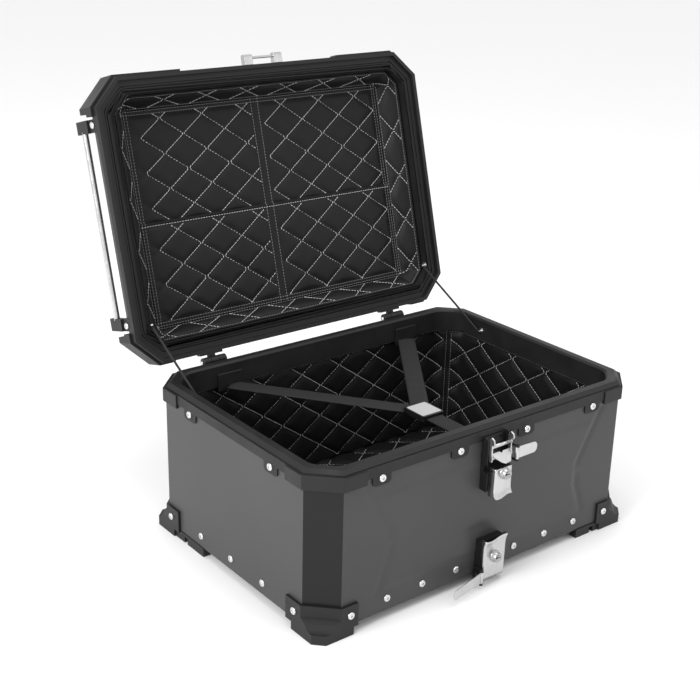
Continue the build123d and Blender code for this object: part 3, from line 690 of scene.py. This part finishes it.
def wave(phase):
    """A triangle wave with slightly rounded tips, from -1 to 1."""
    sharp = 0.988
    return np.arcsin(sharp * np.sin(phase)) / math.asin(sharp)


def zigzag(k, v, shift_u=0.0, shift_v=0.0, column=COLUMN, turn=TURN):
    """Where seam k lies across the cloth, at height v."""
    side = 1 if k % 2 else -1
    swing = column / 2 - TURN_GAP
    return shift_u + column * (k + 0.5) + side * swing * wave(2 * math.pi * (v - shift_v) / turn)


def padding(u, v, shift_u=0.0, shift_v=0.0, column=COLUMN, turn=TURN):
    """Height of the padding over the cloth, 0 on a seam to 1 between seams."""
    slope = math.hypot(1.0, 2 * column / turn)
    nearest = np.full(np.shape(u), 1e9)
    first = int(np.floor((np.min(u) - shift_u) / column)) - 1
    last = int(np.ceil((np.max(u) - shift_u) / column)) + 1
    for k in range(first, last + 1):
        gap = np.abs(u - zigzag(k, v, shift_u, shift_v, column, turn)) / slope
        nearest = np.minimum(nearest, gap)
    return 1 - np.exp(-(nearest / 4.2) ** 1.3)


def band_dip(distance, width):
    """0 within a sewn band, rising to 1 outside it."""
    return 1 - np.exp(-np.clip(distance - width, 0, None) / 3.0)


# %% [markdown]
# Stitches repeat thousands of times along seams, which is a job for Geometry Nodes. Each seam is drawn as
# a chain of edges. The tree turns it to a curve, cuts it to the stitch pitch, and lays a small pointed
# bead along the curve at each point. The beads have only a few faces each.

# %% The stitch tree
def stitch_tree():
    tree = bpy.data.node_groups.new("stitches_along_seams", "GeometryNodeTree")
    face = tree.interface
    face.new_socket("Geometry", in_out="INPUT", socket_type="NodeSocketGeometry")
    for label, value in (("Pitch", 0.0045), ("Stitch length", 0.0036), ("Thread radius", 0.0005)):
        socket = face.new_socket(label, in_out="INPUT", socket_type="NodeSocketFloat")
        socket.default_value = value
    face.new_socket("Thread", in_out="INPUT", socket_type="NodeSocketMaterial")
    face.new_socket("Geometry", in_out="OUTPUT", socket_type="NodeSocketGeometry")
    add = tree.nodes.new
    link = tree.links.new
    start = add("NodeGroupInput")
    end = add("NodeGroupOutput")
    curve = add("GeometryNodeMeshToCurve")
    cut = add("GeometryNodeResampleCurve")
    cut.mode = "LENGTH"
    bead = add("GeometryNodeMeshUVSphere")
    bead.inputs["Segments"].default_value = 6
    bead.inputs["Rings"].default_value = 4
    bead.inputs["Radius"].default_value = 1.0
    size = add("ShaderNodeCombineXYZ")
    half = add("ShaderNodeMath")
    half.operation = "MULTIPLY"
    half.inputs[1].default_value = 0.5
    tangent = add("GeometryNodeInputTangent")
    turn = add("FunctionNodeAlignRotationToVector")
    turn.axis = "Z"
    lay = add("GeometryNodeInstanceOnPoints")
    real = add("GeometryNodeRealizeInstances")
    paint = add("GeometryNodeSetMaterial")
    smooth = add("GeometryNodeSetShadeSmooth")
    link(start.outputs["Geometry"], curve.inputs["Mesh"])
    link(curve.outputs["Curve"], cut.inputs["Curve"])
    link(start.outputs["Pitch"], cut.inputs["Length"])
    link(start.outputs["Stitch length"], half.inputs[0])
    link(start.outputs["Thread radius"], size.inputs["X"])
    link(start.outputs["Thread radius"], size.inputs["Y"])
    link(half.outputs["Value"], size.inputs["Z"])
    link(tangent.outputs["Tangent"], turn.inputs["Vector"])
    link(cut.outputs["Curve"], lay.inputs["Points"])
    link(bead.outputs["Mesh"], lay.inputs["Instance"])
    link(turn.outputs["Rotation"], lay.inputs["Rotation"])
    link(size.outputs["Vector"], lay.inputs["Scale"])
    link(lay.outputs["Instances"], real.inputs["Geometry"])
    link(real.outputs["Geometry"], smooth.inputs["Geometry"])
    link(smooth.outputs["Geometry"], paint.inputs["Geometry"])
    link(start.outputs["Thread"], paint.inputs["Material"])
    link(paint.outputs["Geometry"], end.inputs["Geometry"])
    return tree


stitches_along = stitch_tree()


def socket_id(tree, label):
    for item in tree.interface.items_tree:
        if item.name == label and item.in_out == "INPUT":
            return item.identifier


def sew(name, seams, thread, node, pitch=4.5, length=3.7, radius=0.45):
    """Stitches along several seams, as one plain mesh on the node's body."""
    vertices = []
    edges = []
    for seam in seams:
        start = len(vertices)
        vertices += [tuple(p) for p in np.array(seam) * MM]
        edges += [(start + i, start + i + 1) for i in range(len(seam) - 1)]
    guide_mesh = bpy.data.meshes.new(name + "_guide")
    guide_mesh.from_pydata(vertices, edges, [])
    guide = bpy.data.objects.new(name + "_guide", guide_mesh)
    bpy.context.scene.collection.objects.link(guide)
    nodes = guide.modifiers.new("stitches", "NODES")
    nodes.node_group = stitches_along
    nodes[socket_id(stitches_along, "Pitch")] = pitch * MM
    nodes[socket_id(stitches_along, "Stitch length")] = length * MM
    nodes[socket_id(stitches_along, "Thread radius")] = radius * MM
    nodes[socket_id(stitches_along, "Thread")] = thread
    result = bpy.data.meshes.new_from_object(guide.evaluated_get(bpy.context.evaluated_depsgraph_get()))
    bpy.data.objects.remove(guide)
    obj = bpy.data.objects.new(name, result)
    place(obj, None, node)
    print(name, len(result.polygons), "faces")
    return obj


# %% [markdown]
# The wall lining wraps once round the inside of the case, behind the rim's skirt. Its path is the bevelled
# outline with its corners eased, measured along its length so that the diamonds run on round the corners.

# %% The path round the walls
def rounded_plan(inset, radius, step):
    """Points and inward normals about step apart, along the outline with eased corners."""
    corners = [np.array(p) for p in plan(inset)]
    count = len(corners)
    dense = []
    for i, corner in enumerate(corners):
        before = corners[i - 1] - corner
        after = corners[(i + 1) % count] - corner
        a = corner + before / np.linalg.norm(before) * radius
        b = corner + after / np.linalg.norm(after) * radius
        for t in np.linspace(0, 1, 7):
            dense.append(a * (1 - t) ** 2 + corner * 2 * t * (1 - t) + b * t * t)
    dense = np.array(dense + [dense[0]])
    lengths = np.concatenate([[0], np.cumsum(np.linalg.norm(np.diff(dense, axis=0), axis=1))])
    samples = np.linspace(0, lengths[-1], int(lengths[-1] / step) + 1)[:-1]
    xy = np.stack([np.interp(samples, lengths, dense[:, k]) for k in range(2)], -1)
    ahead = np.roll(xy, -1, axis=0) - np.roll(xy, 1, axis=0)
    ahead = ahead / np.linalg.norm(ahead, axis=1)[:, None]
    inward = np.stack([-ahead[:, 1], ahead[:, 0]], -1)
    return xy, inward, samples, lengths[-1]


# %% The quilted wall lining
wall_inset = 6.2
wall_low = 4.0
wall_high = 168.0
wall_path, wall_inward, wall_along, wall_length = rounded_plan(wall_inset, 7.0, 2.6)


def along_wall(x, y):
    """Length along the path of the point nearest to x, y."""
    return wall_along[np.argmin(np.hypot(wall_path[:, 0] - x, wall_path[:, 1] - y))]


def wall_panels():
    """Each side's cloth as (start, end, sideways shift, upward shift) of its diamonds."""
    corners = plan(wall_inset)
    middles = [(np.array(corners[i]) + np.array(corners[(i + 1) % 8])) / 2 for i in (7, 1, 3, 5)]
    seams = [along_wall(*middle) for middle in middles]
    seams[0] -= wall_length if seams[0] > wall_length / 2 else 0
    ends = seams[1:] + [seams[0] + wall_length]
    phases = [(along_wall(250, 68), 25.1), (along_wall(37, 175), -3.8),
              (along_wall(-250, -68), 25.1), (along_wall(-37, -175), -3.8)]
    return [(a, b, *phase) for a, b, phase in zip(seams, ends, phases)]


cloth_panels = wall_panels()


def wall_relief(u, v):
    """Padding of the walls: flat along the hem and pinched at the corner seams."""
    start = cloth_panels[0][0]
    u = np.mod(u - start, wall_length) + start
    rise = np.zeros(u.shape)
    for low, high, shift_u, shift_v in cloth_panels:
        here = (u >= low) & (u <= high)
        pinch = band_dip(np.minimum(u - low, high - u), 1.0)
        if here.any():
            rise = np.where(here, padding(u, v, shift_u, shift_v) * pinch, rise)
    return 0.8 + PUFF * rise * band_dip(wall_high - 8.0 - v, 3.0)


def wall_points(u, v, lift=0.0):
    """Points on the lining's face, for lengths u and heights v."""
    u = np.mod(u, wall_length)
    xy = np.stack([np.interp(u, wall_along, wall_path[:, k], period=wall_length) for k in range(2)], -1)
    inward = [np.interp(u, wall_along, wall_inward[:, k], period=wall_length) for k in range(2)]
    inward = np.stack(inward, -1)
    xy = xy + inward * (wall_relief(u, v) + lift)[..., None]
    return np.concatenate([xy, v[..., None]], -1)


heights = np.linspace(wall_low, wall_high, int((wall_high - wall_low) / 2.6))
u_grid, v_grid = np.meshgrid(wall_along, heights)
walls = grid_piece("wall_lining", wall_points(u_grid, v_grid), lining_leather, "lining_walls",
                   1.2, True, INSIDE)
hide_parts("lining_walls")
print("walls", len(walls.data.polygons), "faces, path", round(wall_length), "mm")

# %% [markdown]
# The walls' stitches follow the same zigzags as the padding, so thread and valley always agree. A line is cut
# where it would cross a corner seam, and the hem and the corners get straight rows of their own.

# %% Stitches on the walls
line_v = np.arange(wall_low + 3, wall_high - 13, 1.5)
quilt_lines = []
for low, high, shift_u, shift_v in cloth_panels:
    for k in range(math.floor((low - shift_u) / COLUMN) - 1, math.ceil((high - shift_u) / COLUMN) + 1):
        line_u = zigzag(k, line_v, shift_u, shift_v)
        inside = (line_u > low + 4) & (line_u < high - 4)
        for run in np.split(np.arange(len(line_v)), np.where(np.diff(inside.astype(int)))[0] + 1):
            if inside[run[0]] and len(run) > 4:
                quilt_lines.append(wall_points(line_u[run], line_v[run], 0.3))
sew("wall_quilting", quilt_lines, quilt_thread, "lining_walls", *QUILT_STITCH)
hem_u = np.append(wall_along, wall_length)
hems = [wall_points(hem_u, np.full(hem_u.shape, wall_high - 11.0), 0.3)]
for panel in cloth_panels:
    for side in (-3.5, 3.5):
        hems.append(wall_points(np.full(line_v.shape, panel[0] + side), line_v, 0.3))
sew("wall_hems", hems, seam_thread, "lining_walls", 4.0, 2.8, 0.4)

# %% [markdown]
# The floor lining is the same quilted cloth, laid flat. Its grid is square, and the points past the bevelled
# corners are drawn back onto the bevel, which is simpler than cutting the cloth.

# %% The quilted floor lining
floor_inset = 10.6
floor_low = 3.0
floor_shift = (10.0, 5.0)          # where the floor's diamonds start
floor_w = HALF_WIDTH - floor_inset
floor_d = HALF_DEPTH - floor_inset
fx, fy = np.meshgrid(np.linspace(-floor_w, floor_w, 170), np.linspace(-floor_d, floor_d, 118))
over = np.clip(np.abs(fx) + np.abs(fy) - (floor_w + floor_d - CORNER_CUT + floor_inset * 0.59), 0, None)
fx = fx - np.sign(fx) * over / 2
fy = fy - np.sign(fy) * over / 2
floor_points = np.stack([fx, fy, floor_low + 0.6 + PUFF * padding(fx, fy, *floor_shift)], -1)
floor_piece = grid_piece("floor_lining", floor_points, lining_leather, "lining_floor", 1.0, False, INSIDE)
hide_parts("lining_floor")
floor_v = np.arange(-floor_d + 4, floor_d - 4, 1.5)
floor_lines = []
for k in range(-8, 8):
    line_u = zigzag(k, floor_v, *floor_shift)
    inside = np.abs(line_u) + np.abs(floor_v) < floor_w + floor_d - CORNER_CUT
    inside &= np.abs(line_u) < floor_w - 3
    line = np.stack([line_u, floor_v, np.full(floor_v.shape, floor_low + 0.9)], -1)[inside]
    if len(line) > 10:
        floor_lines.append(line)
sew("floor_quilting", floor_lines, quilt_thread, "lining_floor", *QUILT_STITCH)

# %% [markdown]
# The lid is lined with one flat quilted panel and four sloping gussets round it. A double-stitched binding
# joins them and a second one runs down the middle. The half by the hinges is two flat pockets, laid over
# the cloth behind and quilted on their own, so a step, a piping and a row of stitches mark their mouths.

# %% The lid's flat panel
panel_w = 205.0
panel_d = 140.0
seam_x = -5.0
pocket_y = 5.0
pocket_shift = 8.0       # the pockets are quilted on their own, so their pattern starts afresh
pocket_lift = 1.5        # thickness of the pockets' cloth over the cloth behind
binding = 8.0
lid_shift = (6.8, -12.8 - TURN / 4)     # where the lid's diamonds start


def quilt_y(y):
    """Where a point lies in the quilting of its own cloth, pocket or back."""
    return y - np.where(y > pocket_y, pocket_shift, 0.0)


def lid_relief(x, y):
    """Padding of the lid's panel, pressed flat along its bindings."""
    rise = padding(x, quilt_y(y), *lid_shift)
    rise = rise * band_dip(np.abs(x - seam_x), binding - 1.0)
    rise = rise * band_dip(np.abs(y - pocket_y - 2.0), 3.0)
    rise = rise * band_dip(np.minimum(panel_w - np.abs(x), panel_d - np.abs(y)), binding)
    middle = 0.8 * np.exp(-((x - seam_x) / (binding - 2.5)) ** 8)
    pocket = pocket_lift * step(y - pocket_y, 1.0)
    piping = 0.9 * np.exp(-((y - pocket_y - 1.0) / 1.1) ** 2)
    return 0.6 + PUFF * rise + middle + pocket + piping


def lid_panel_points(x, y, lift=0.0):
    z = LID_EDGE + LID_CEILING - lid_relief(x, y) - lift
    return to_open(np.stack([x, y, z], -1))


rows = np.concatenate([np.linspace(-panel_d, panel_d, 100), pocket_y + np.linspace(-2.5, 5.0, 16)])
px, py = np.meshgrid(np.linspace(-panel_w, panel_w, 170), np.sort(rows)[::-1])
lid_panel = grid_piece("lid_panel_lining", lid_panel_points(px, py), lining_leather, "lid_lining",
                       1.2, False, BEFORE_LID)
print("lid panel", len(lid_panel.data.polygons), "faces")

# %% [markdown]
# The lid's stitches break off at the bindings and at the pockets' mouths, as real quilting does where cloth
# is joined after it is quilted. The straight rows along the bindings use a darker thread.

# %% Stitches on the lid's panel
lid_v = np.arange(-panel_d + binding, panel_d - binding, 1.4)
lid_lines = []
for k in range(-6, 7):
    line_x = zigzag(k, quilt_y(lid_v), *lid_shift)
    keep = (np.abs(line_x) < panel_w - binding) & (np.abs(line_x - seam_x) > binding)
    keep &= np.abs(lid_v - pocket_y - 2.0) > 4.0
    runs = np.split(np.arange(len(lid_v)), np.where(np.diff(keep.astype(int)))[0] + 1)
    for run in runs:
        if keep[run[0]] and len(run) > 4:
            lid_lines.append(lid_panel_points(line_x[run], lid_v[run], 0.25))
sew("lid_quilting", lid_lines, quilt_thread, "lid_lining", *QUILT_STITCH)
straight_y = np.linspace(-panel_d + 2, panel_d - 2, 120)
straight_x = np.linspace(-panel_w + 2, panel_w - 2, 160)
seams = [lid_panel_points(np.full(120, seam_x + s * 5.5), straight_y, 0.25) for s in (-1, 1)]
pocket_seam = lid_panel_points(straight_x, np.full(160, pocket_y + 3.5), 0.3)
sew("lid_pocket_seam", [pocket_seam], quilt_thread, "lid_lining", *SEAM_STITCH)
for s in (-1, 1):
    for inset in (2.2, 6.5):
        seams.append(lid_panel_points(np.full(120, s * (panel_w - inset)), straight_y, 0.25))
        seams.append(lid_panel_points(straight_x, np.full(160, s * (panel_d - inset)), 0.25))
sew("lid_seams", seams, seam_thread, "lid_lining", *SEAM_STITCH)

# %% [markdown]
# The gussets fill the slope between the lid's frame and its flat panel. They are one band round the lid,
# built between two matching outlines, so the cloth has no twist at the corners.

# %% The lid's sloping gussets
GUSSET_DEPTH = 34.0      # width of the sloping band
GUSSET_FOOT = 12.6       # how far its outer edge lies inside the lid's edge


def gusset_points(u, v, lift=0.0):
    """Points on the band from the lid's skirt, v = 0, to its flat panel, v = 1."""
    u = np.mod(u, gusset_length)
    low, high = [np.stack([np.interp(u, gusset_u, edge[:, k], period=gusset_length) for k in range(2)], -1)
                 for edge in (gusset_low, gusset_high)]
    xy = low * (1 - v)[..., None] + high * v[..., None]
    rise = gusset_relief(u, v) + lift
    outward = low - high
    outward = outward / np.linalg.norm(outward, axis=-1)[..., None]
    z = LID_EDGE + GUSSET_FOOT + (LID_CEILING - GUSSET_FOOT) * v - rise * 0.8
    return to_open(np.concatenate([xy - outward * (rise * 0.6)[..., None], z[..., None]], -1))


def gusset_relief(u, v):
    rise = padding(u, v * GUSSET_DEPTH, 0.0, 3.0, gusset_column)
    rise = rise * band_dip(v * GUSSET_DEPTH, 5.0) * band_dip((1 - v) * GUSSET_DEPTH, 4.0)
    crease = 0.5 * np.sin(u / 9.0) * np.exp(-((v - 0.15) / 0.2) ** 2)
    return 0.5 + 2.6 * rise + crease


def side_by_side(low_corners, high_corners, step):
    """Matching points on two outlines, edge by edge, so that the band between them has no twist."""
    low = []
    high = []
    for i in range(8):
        a, b = np.array(low_corners[i]), np.array(low_corners[(i + 1) % 8])
        c, d = np.array(high_corners[i]), np.array(high_corners[(i + 1) % 8])
        count = max(4, int(np.linalg.norm(b - a) / step))
        for t in np.linspace(0, 1, count, endpoint=False):
            low.append(a + (b - a) * t)
            high.append(c + (d - c) * t)
    return np.array(low), np.array(high)


panel_cut = 5.0
panel_half = [(panel_w, -panel_d + panel_cut), (panel_w, panel_d - panel_cut),
              (panel_w - panel_cut, panel_d), (-panel_w + panel_cut, panel_d)]
panel_corners = panel_half + [(-x, -y) for x, y in panel_half]
gusset_low, gusset_high = side_by_side(plan(LID_SKIRT_INSET + 1.0), panel_corners, 2.6)
gusset_steps = np.linalg.norm(np.roll(gusset_low, -1, axis=0) - gusset_low, axis=1)
gusset_length = gusset_steps.sum()
gusset_u = np.concatenate([[0], np.cumsum(gusset_steps)[:-1]])
gusset_column = gusset_length / (2 * round(gusset_length / (2 * COLUMN)))
gu, gv = np.meshgrid(gusset_u, np.linspace(1, 0, 16))
gusset = grid_piece("lid_gusset_lining", gusset_points(gu, gv), lining_leather, "lid_lining",
                    1.0, True, BEFORE_LID)
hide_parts("lid_lining")
gusset_v = np.linspace(0.16, 0.88, 20)
gusset_seams = range(round(gusset_length / gusset_column))
gusset_lines = [gusset_points(zigzag(k, gusset_v * GUSSET_DEPTH, 0.0, 3.0, gusset_column), gusset_v, 0.25)
                for k in gusset_seams]
sew("gusset_quilting", gusset_lines, quilt_thread, "lid_lining", *QUILT_STITCH)
around_u = np.append(gusset_u, gusset_length)
gusset_hems = [gusset_points(around_u, np.full(around_u.shape, v), 0.25) for v in (0.1, 0.93)]
sew("gusset_hems", gusset_hems, seam_thread, "lid_lining", *SEAM_STITCH)

# %% [markdown]
# The rubber seal sits in the lid rim's groove as a round bead that the shut lid presses on. A ring of points
# is carried round the eased outline, and its first row is repeated last to close the bead.

# %% The lid's rubber seal
seal_path, seal_inward, _, _ = rounded_plan(9.0, 6.0, 5.0)
bead_angles = np.linspace(0, 2 * math.pi, 11)[:-1]
bead_rows = []
for angle in bead_angles:
    xy = seal_path + seal_inward * (1.6 * math.cos(angle))
    z = np.full(len(xy), RIM_TOP + 1.6 + 1.3 * math.sin(angle))
    bead_rows.append(to_open(np.concatenate([xy, z[:, None]], -1)))
bead_rows.append(bead_rows[0])
seal = grid_piece("lid_seal_bead", np.array(bead_rows), seal_rubber, "lid_seal", 0.0, True)
seal.data.flip_normals()
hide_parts("lid_seal")
print("seal", len(seal.data.polygons), "faces")

# %% [markdown]
# Flat straps are modelled directly as thin bands. Each is pulled straight from its anchor to the buckle, a
# little crowned across its width, and gets a thickness. Its UV runs along it in metres, so the weave keeps
# its scale.

# %% Luggage straps
STRAP_Z = 163.0
STRAP_WIDTH = 24.0
ANCHOR_X = 148.0
STRAP_MEET_X = 11.0      # where a side strap's middle meets the buckle
buckle_back = -32.0
buckle_front = -72.0


def webbing_band(name, start, end, node):
    """A flat strap from start to end, crowned slightly across its width."""
    a = np.array(start)
    b = np.array(end)
    ahead = (b - a) / np.linalg.norm(b - a)
    side = np.array([-ahead[1], ahead[0], 0.0])
    t = np.linspace(0, 1, 40)
    s = np.linspace(-0.5, 0.5, 9)
    points = a + (b - a) * t[None, :, None] + side * (s * STRAP_WIDTH)[:, None, None]
    points[..., 2] += 0.25 * np.cos(math.pi * s)[:, None] + 0.12 * np.sin(t * 60)[None, :]
    band = grid_piece(name, points, strap_webbing, node, 1.3, False, (0.0, 0.0, 400.0))
    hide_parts(node)
    print(name, round(float(np.linalg.norm(b - a)), 1), "mm long")


rounded_copy("strap_buckle", buckle_plastic, 1.2)
back_wall = HALF_DEPTH - RIM_INSET - 2.6
for side, name in ((-1, "strap_left"), (1, "strap_right")):
    webbing_band(name + "_band", (side * ANCHOR_X, back_wall, STRAP_Z),
                 (side * STRAP_MEET_X, buckle_back, STRAP_Z), name)
webbing_band("strap_front_band", (0.0, -back_wall, STRAP_Z), (0.0, buckle_front, STRAP_Z), "strap_front")
frame_outline = [(sx * 13 + 2 * math.cos(a), sz * 14 + 2 * math.sin(a)) for sx, sz, first in
                 ((-1, -1, 180), (1, -1, 270), (1, 1, 0), (-1, 1, 90))
                 for a in (math.radians(first + 15 * k) for k in range(7))]
face_up = Matrix.Translation(Vector((0, -53.0, 167.9)) * MM) @ Matrix.Rotation(math.radians(-90), 4, "X")
rimmed_plate("buckle_frame", "strap_buckle", frame_outline, face_up, 3.4, 0.9, 1.0, buckle_zinc)

# %% [markdown]
# Two thin cords stop the lid. Each is pulled straight between its eyes, so it is a tube along one line.
# One end belongs to the case and the other to the lid, so the tube is drawn where the open lid holds it and
# rides with neither body.

# %% Limit cords
BASE_EYE = (229.0, 92.0, 176.0)
LID_EYE = (227.0, 130.0, 194.3)
CORD_RADIUS = 1.5
EYE_RADIUS = 2.6         # the cord starts where the eye ends
for side, name in ((-1, "cord_left"), (1, "cord_right")):
    low = np.array((side * BASE_EYE[0], BASE_EYE[1], BASE_EYE[2]))
    high = to_open((side * LID_EYE[0], LID_EYE[1], LID_EYE[2]))
    run = high - low
    gap = run / np.linalg.norm(run) * EYE_RADIUS
    low, high = low + gap, high - gap
    across = np.cross(run, (1, 0, 0))
    across = across / np.linalg.norm(across)
    other = np.cross(run, across)
    other = other / np.linalg.norm(other)
    steps = np.linspace(0, 1, 60)
    angles = np.linspace(0, 2 * math.pi, 13)[:-1]
    centre = low + (high - low) * steps[:, None]
    ring = np.array([CORD_RADIUS * (across * math.cos(a) + other * math.sin(a)) for a in angles])
    tube = centre[:, None] + ring[None]
    obj = grid_piece(name + "_braid", tube, cord_braid, "corner_post_bl", 0.0, True)
    obj.parent = None
    del obj["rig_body"]
    work = bmesh.new()
    work.from_mesh(obj.data)
    bmesh.ops.holes_fill(work, edges=[e for e in work.edges if e.is_boundary])
    bmesh.ops.recalc_face_normals(work, faces=work.faces)
    work.to_mesh(obj.data)
    work.free()
    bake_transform(obj)
    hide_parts(name)
    print(name, round(float(np.linalg.norm(high - low)), 1), "mm")

# %% [markdown]
# The floor is a wide pale plane. Light comes from a bright, even sky and three large softboxes: one high
# on the left, one on the right to edge the front, and one overhead to fill the lining. The camera stands in
# front and to the left, a little above the mouth, so that the case and its open lid both show.

# %% Floor, light and camera
ground_z = cad_box[0][2]
bpy.ops.mesh.primitive_plane_add(size=24, location=(0, 0, ground_z - 0.0003))
floor = bpy.context.object
floor.name = "studio_floor"
floor_paint, _, _ = new_finish("studio_floor_paper", grey(0.9), 0.9)
floor.data.materials.append(floor_paint)

world = bpy.data.worlds.new("studio")
bpy.context.scene.world = world
world.use_nodes = True
world.node_tree.nodes["Background"].inputs["Color"].default_value = (1, 1, 1, 1)
world.node_tree.nodes["Background"].inputs["Strength"].default_value = 1.0


def softbox(name, place_at, aim, size, power):
    light = bpy.data.lights.new(name, "AREA")
    light.shape = "DISK"
    light.size = size
    light.energy = power
    obj = bpy.data.objects.new(name, light)
    bpy.context.scene.collection.objects.link(obj)
    obj.location = place_at
    obj.rotation_euler = (Vector(aim) - Vector(place_at)).to_track_quat("-Z", "Y").to_euler()


softbox("key_softbox", (-2.6, -0.3, 1.5), (0, 0, 0.2), 1.4, 55)
softbox("edge_softbox", (1.6, -1.8, 1.1), (0, 0, 0.2), 1.0, 1.5)
softbox("top_softbox", (0.1, -0.3, 2.4), (0, 0.1, 0.2), 1.6, 16)

camera_place = Vector((-0.957, -1.110, 0.795))
yaw = math.radians(38.41)
pitch = math.radians(21.23)
roll = math.radians(1.42)
forward = Vector((math.cos(pitch) * math.sin(yaw), math.cos(pitch) * math.cos(yaw), -math.sin(pitch)))
level = Vector((math.cos(yaw), -math.sin(yaw), 0))
upright = level.cross(forward)
right = level * math.cos(roll) + upright * math.sin(roll)
up = upright * math.cos(roll) - level * math.sin(roll)
camera_data = bpy.data.cameras.new("camera")
camera_data.lens = 64.7
camera_data.sensor_width = 36
camera = bpy.data.objects.new("camera", camera_data)
bpy.context.scene.collection.objects.link(camera)
axes = Matrix((right, up, -forward)).transposed()
camera.matrix_world = Matrix.Translation(camera_place) @ axes.to_4x4()
bpy.context.scene.camera = camera
bpy.context.scene.view_settings.view_transform = "Standard"
print("camera", [round(v, 3) for v in camera_place])
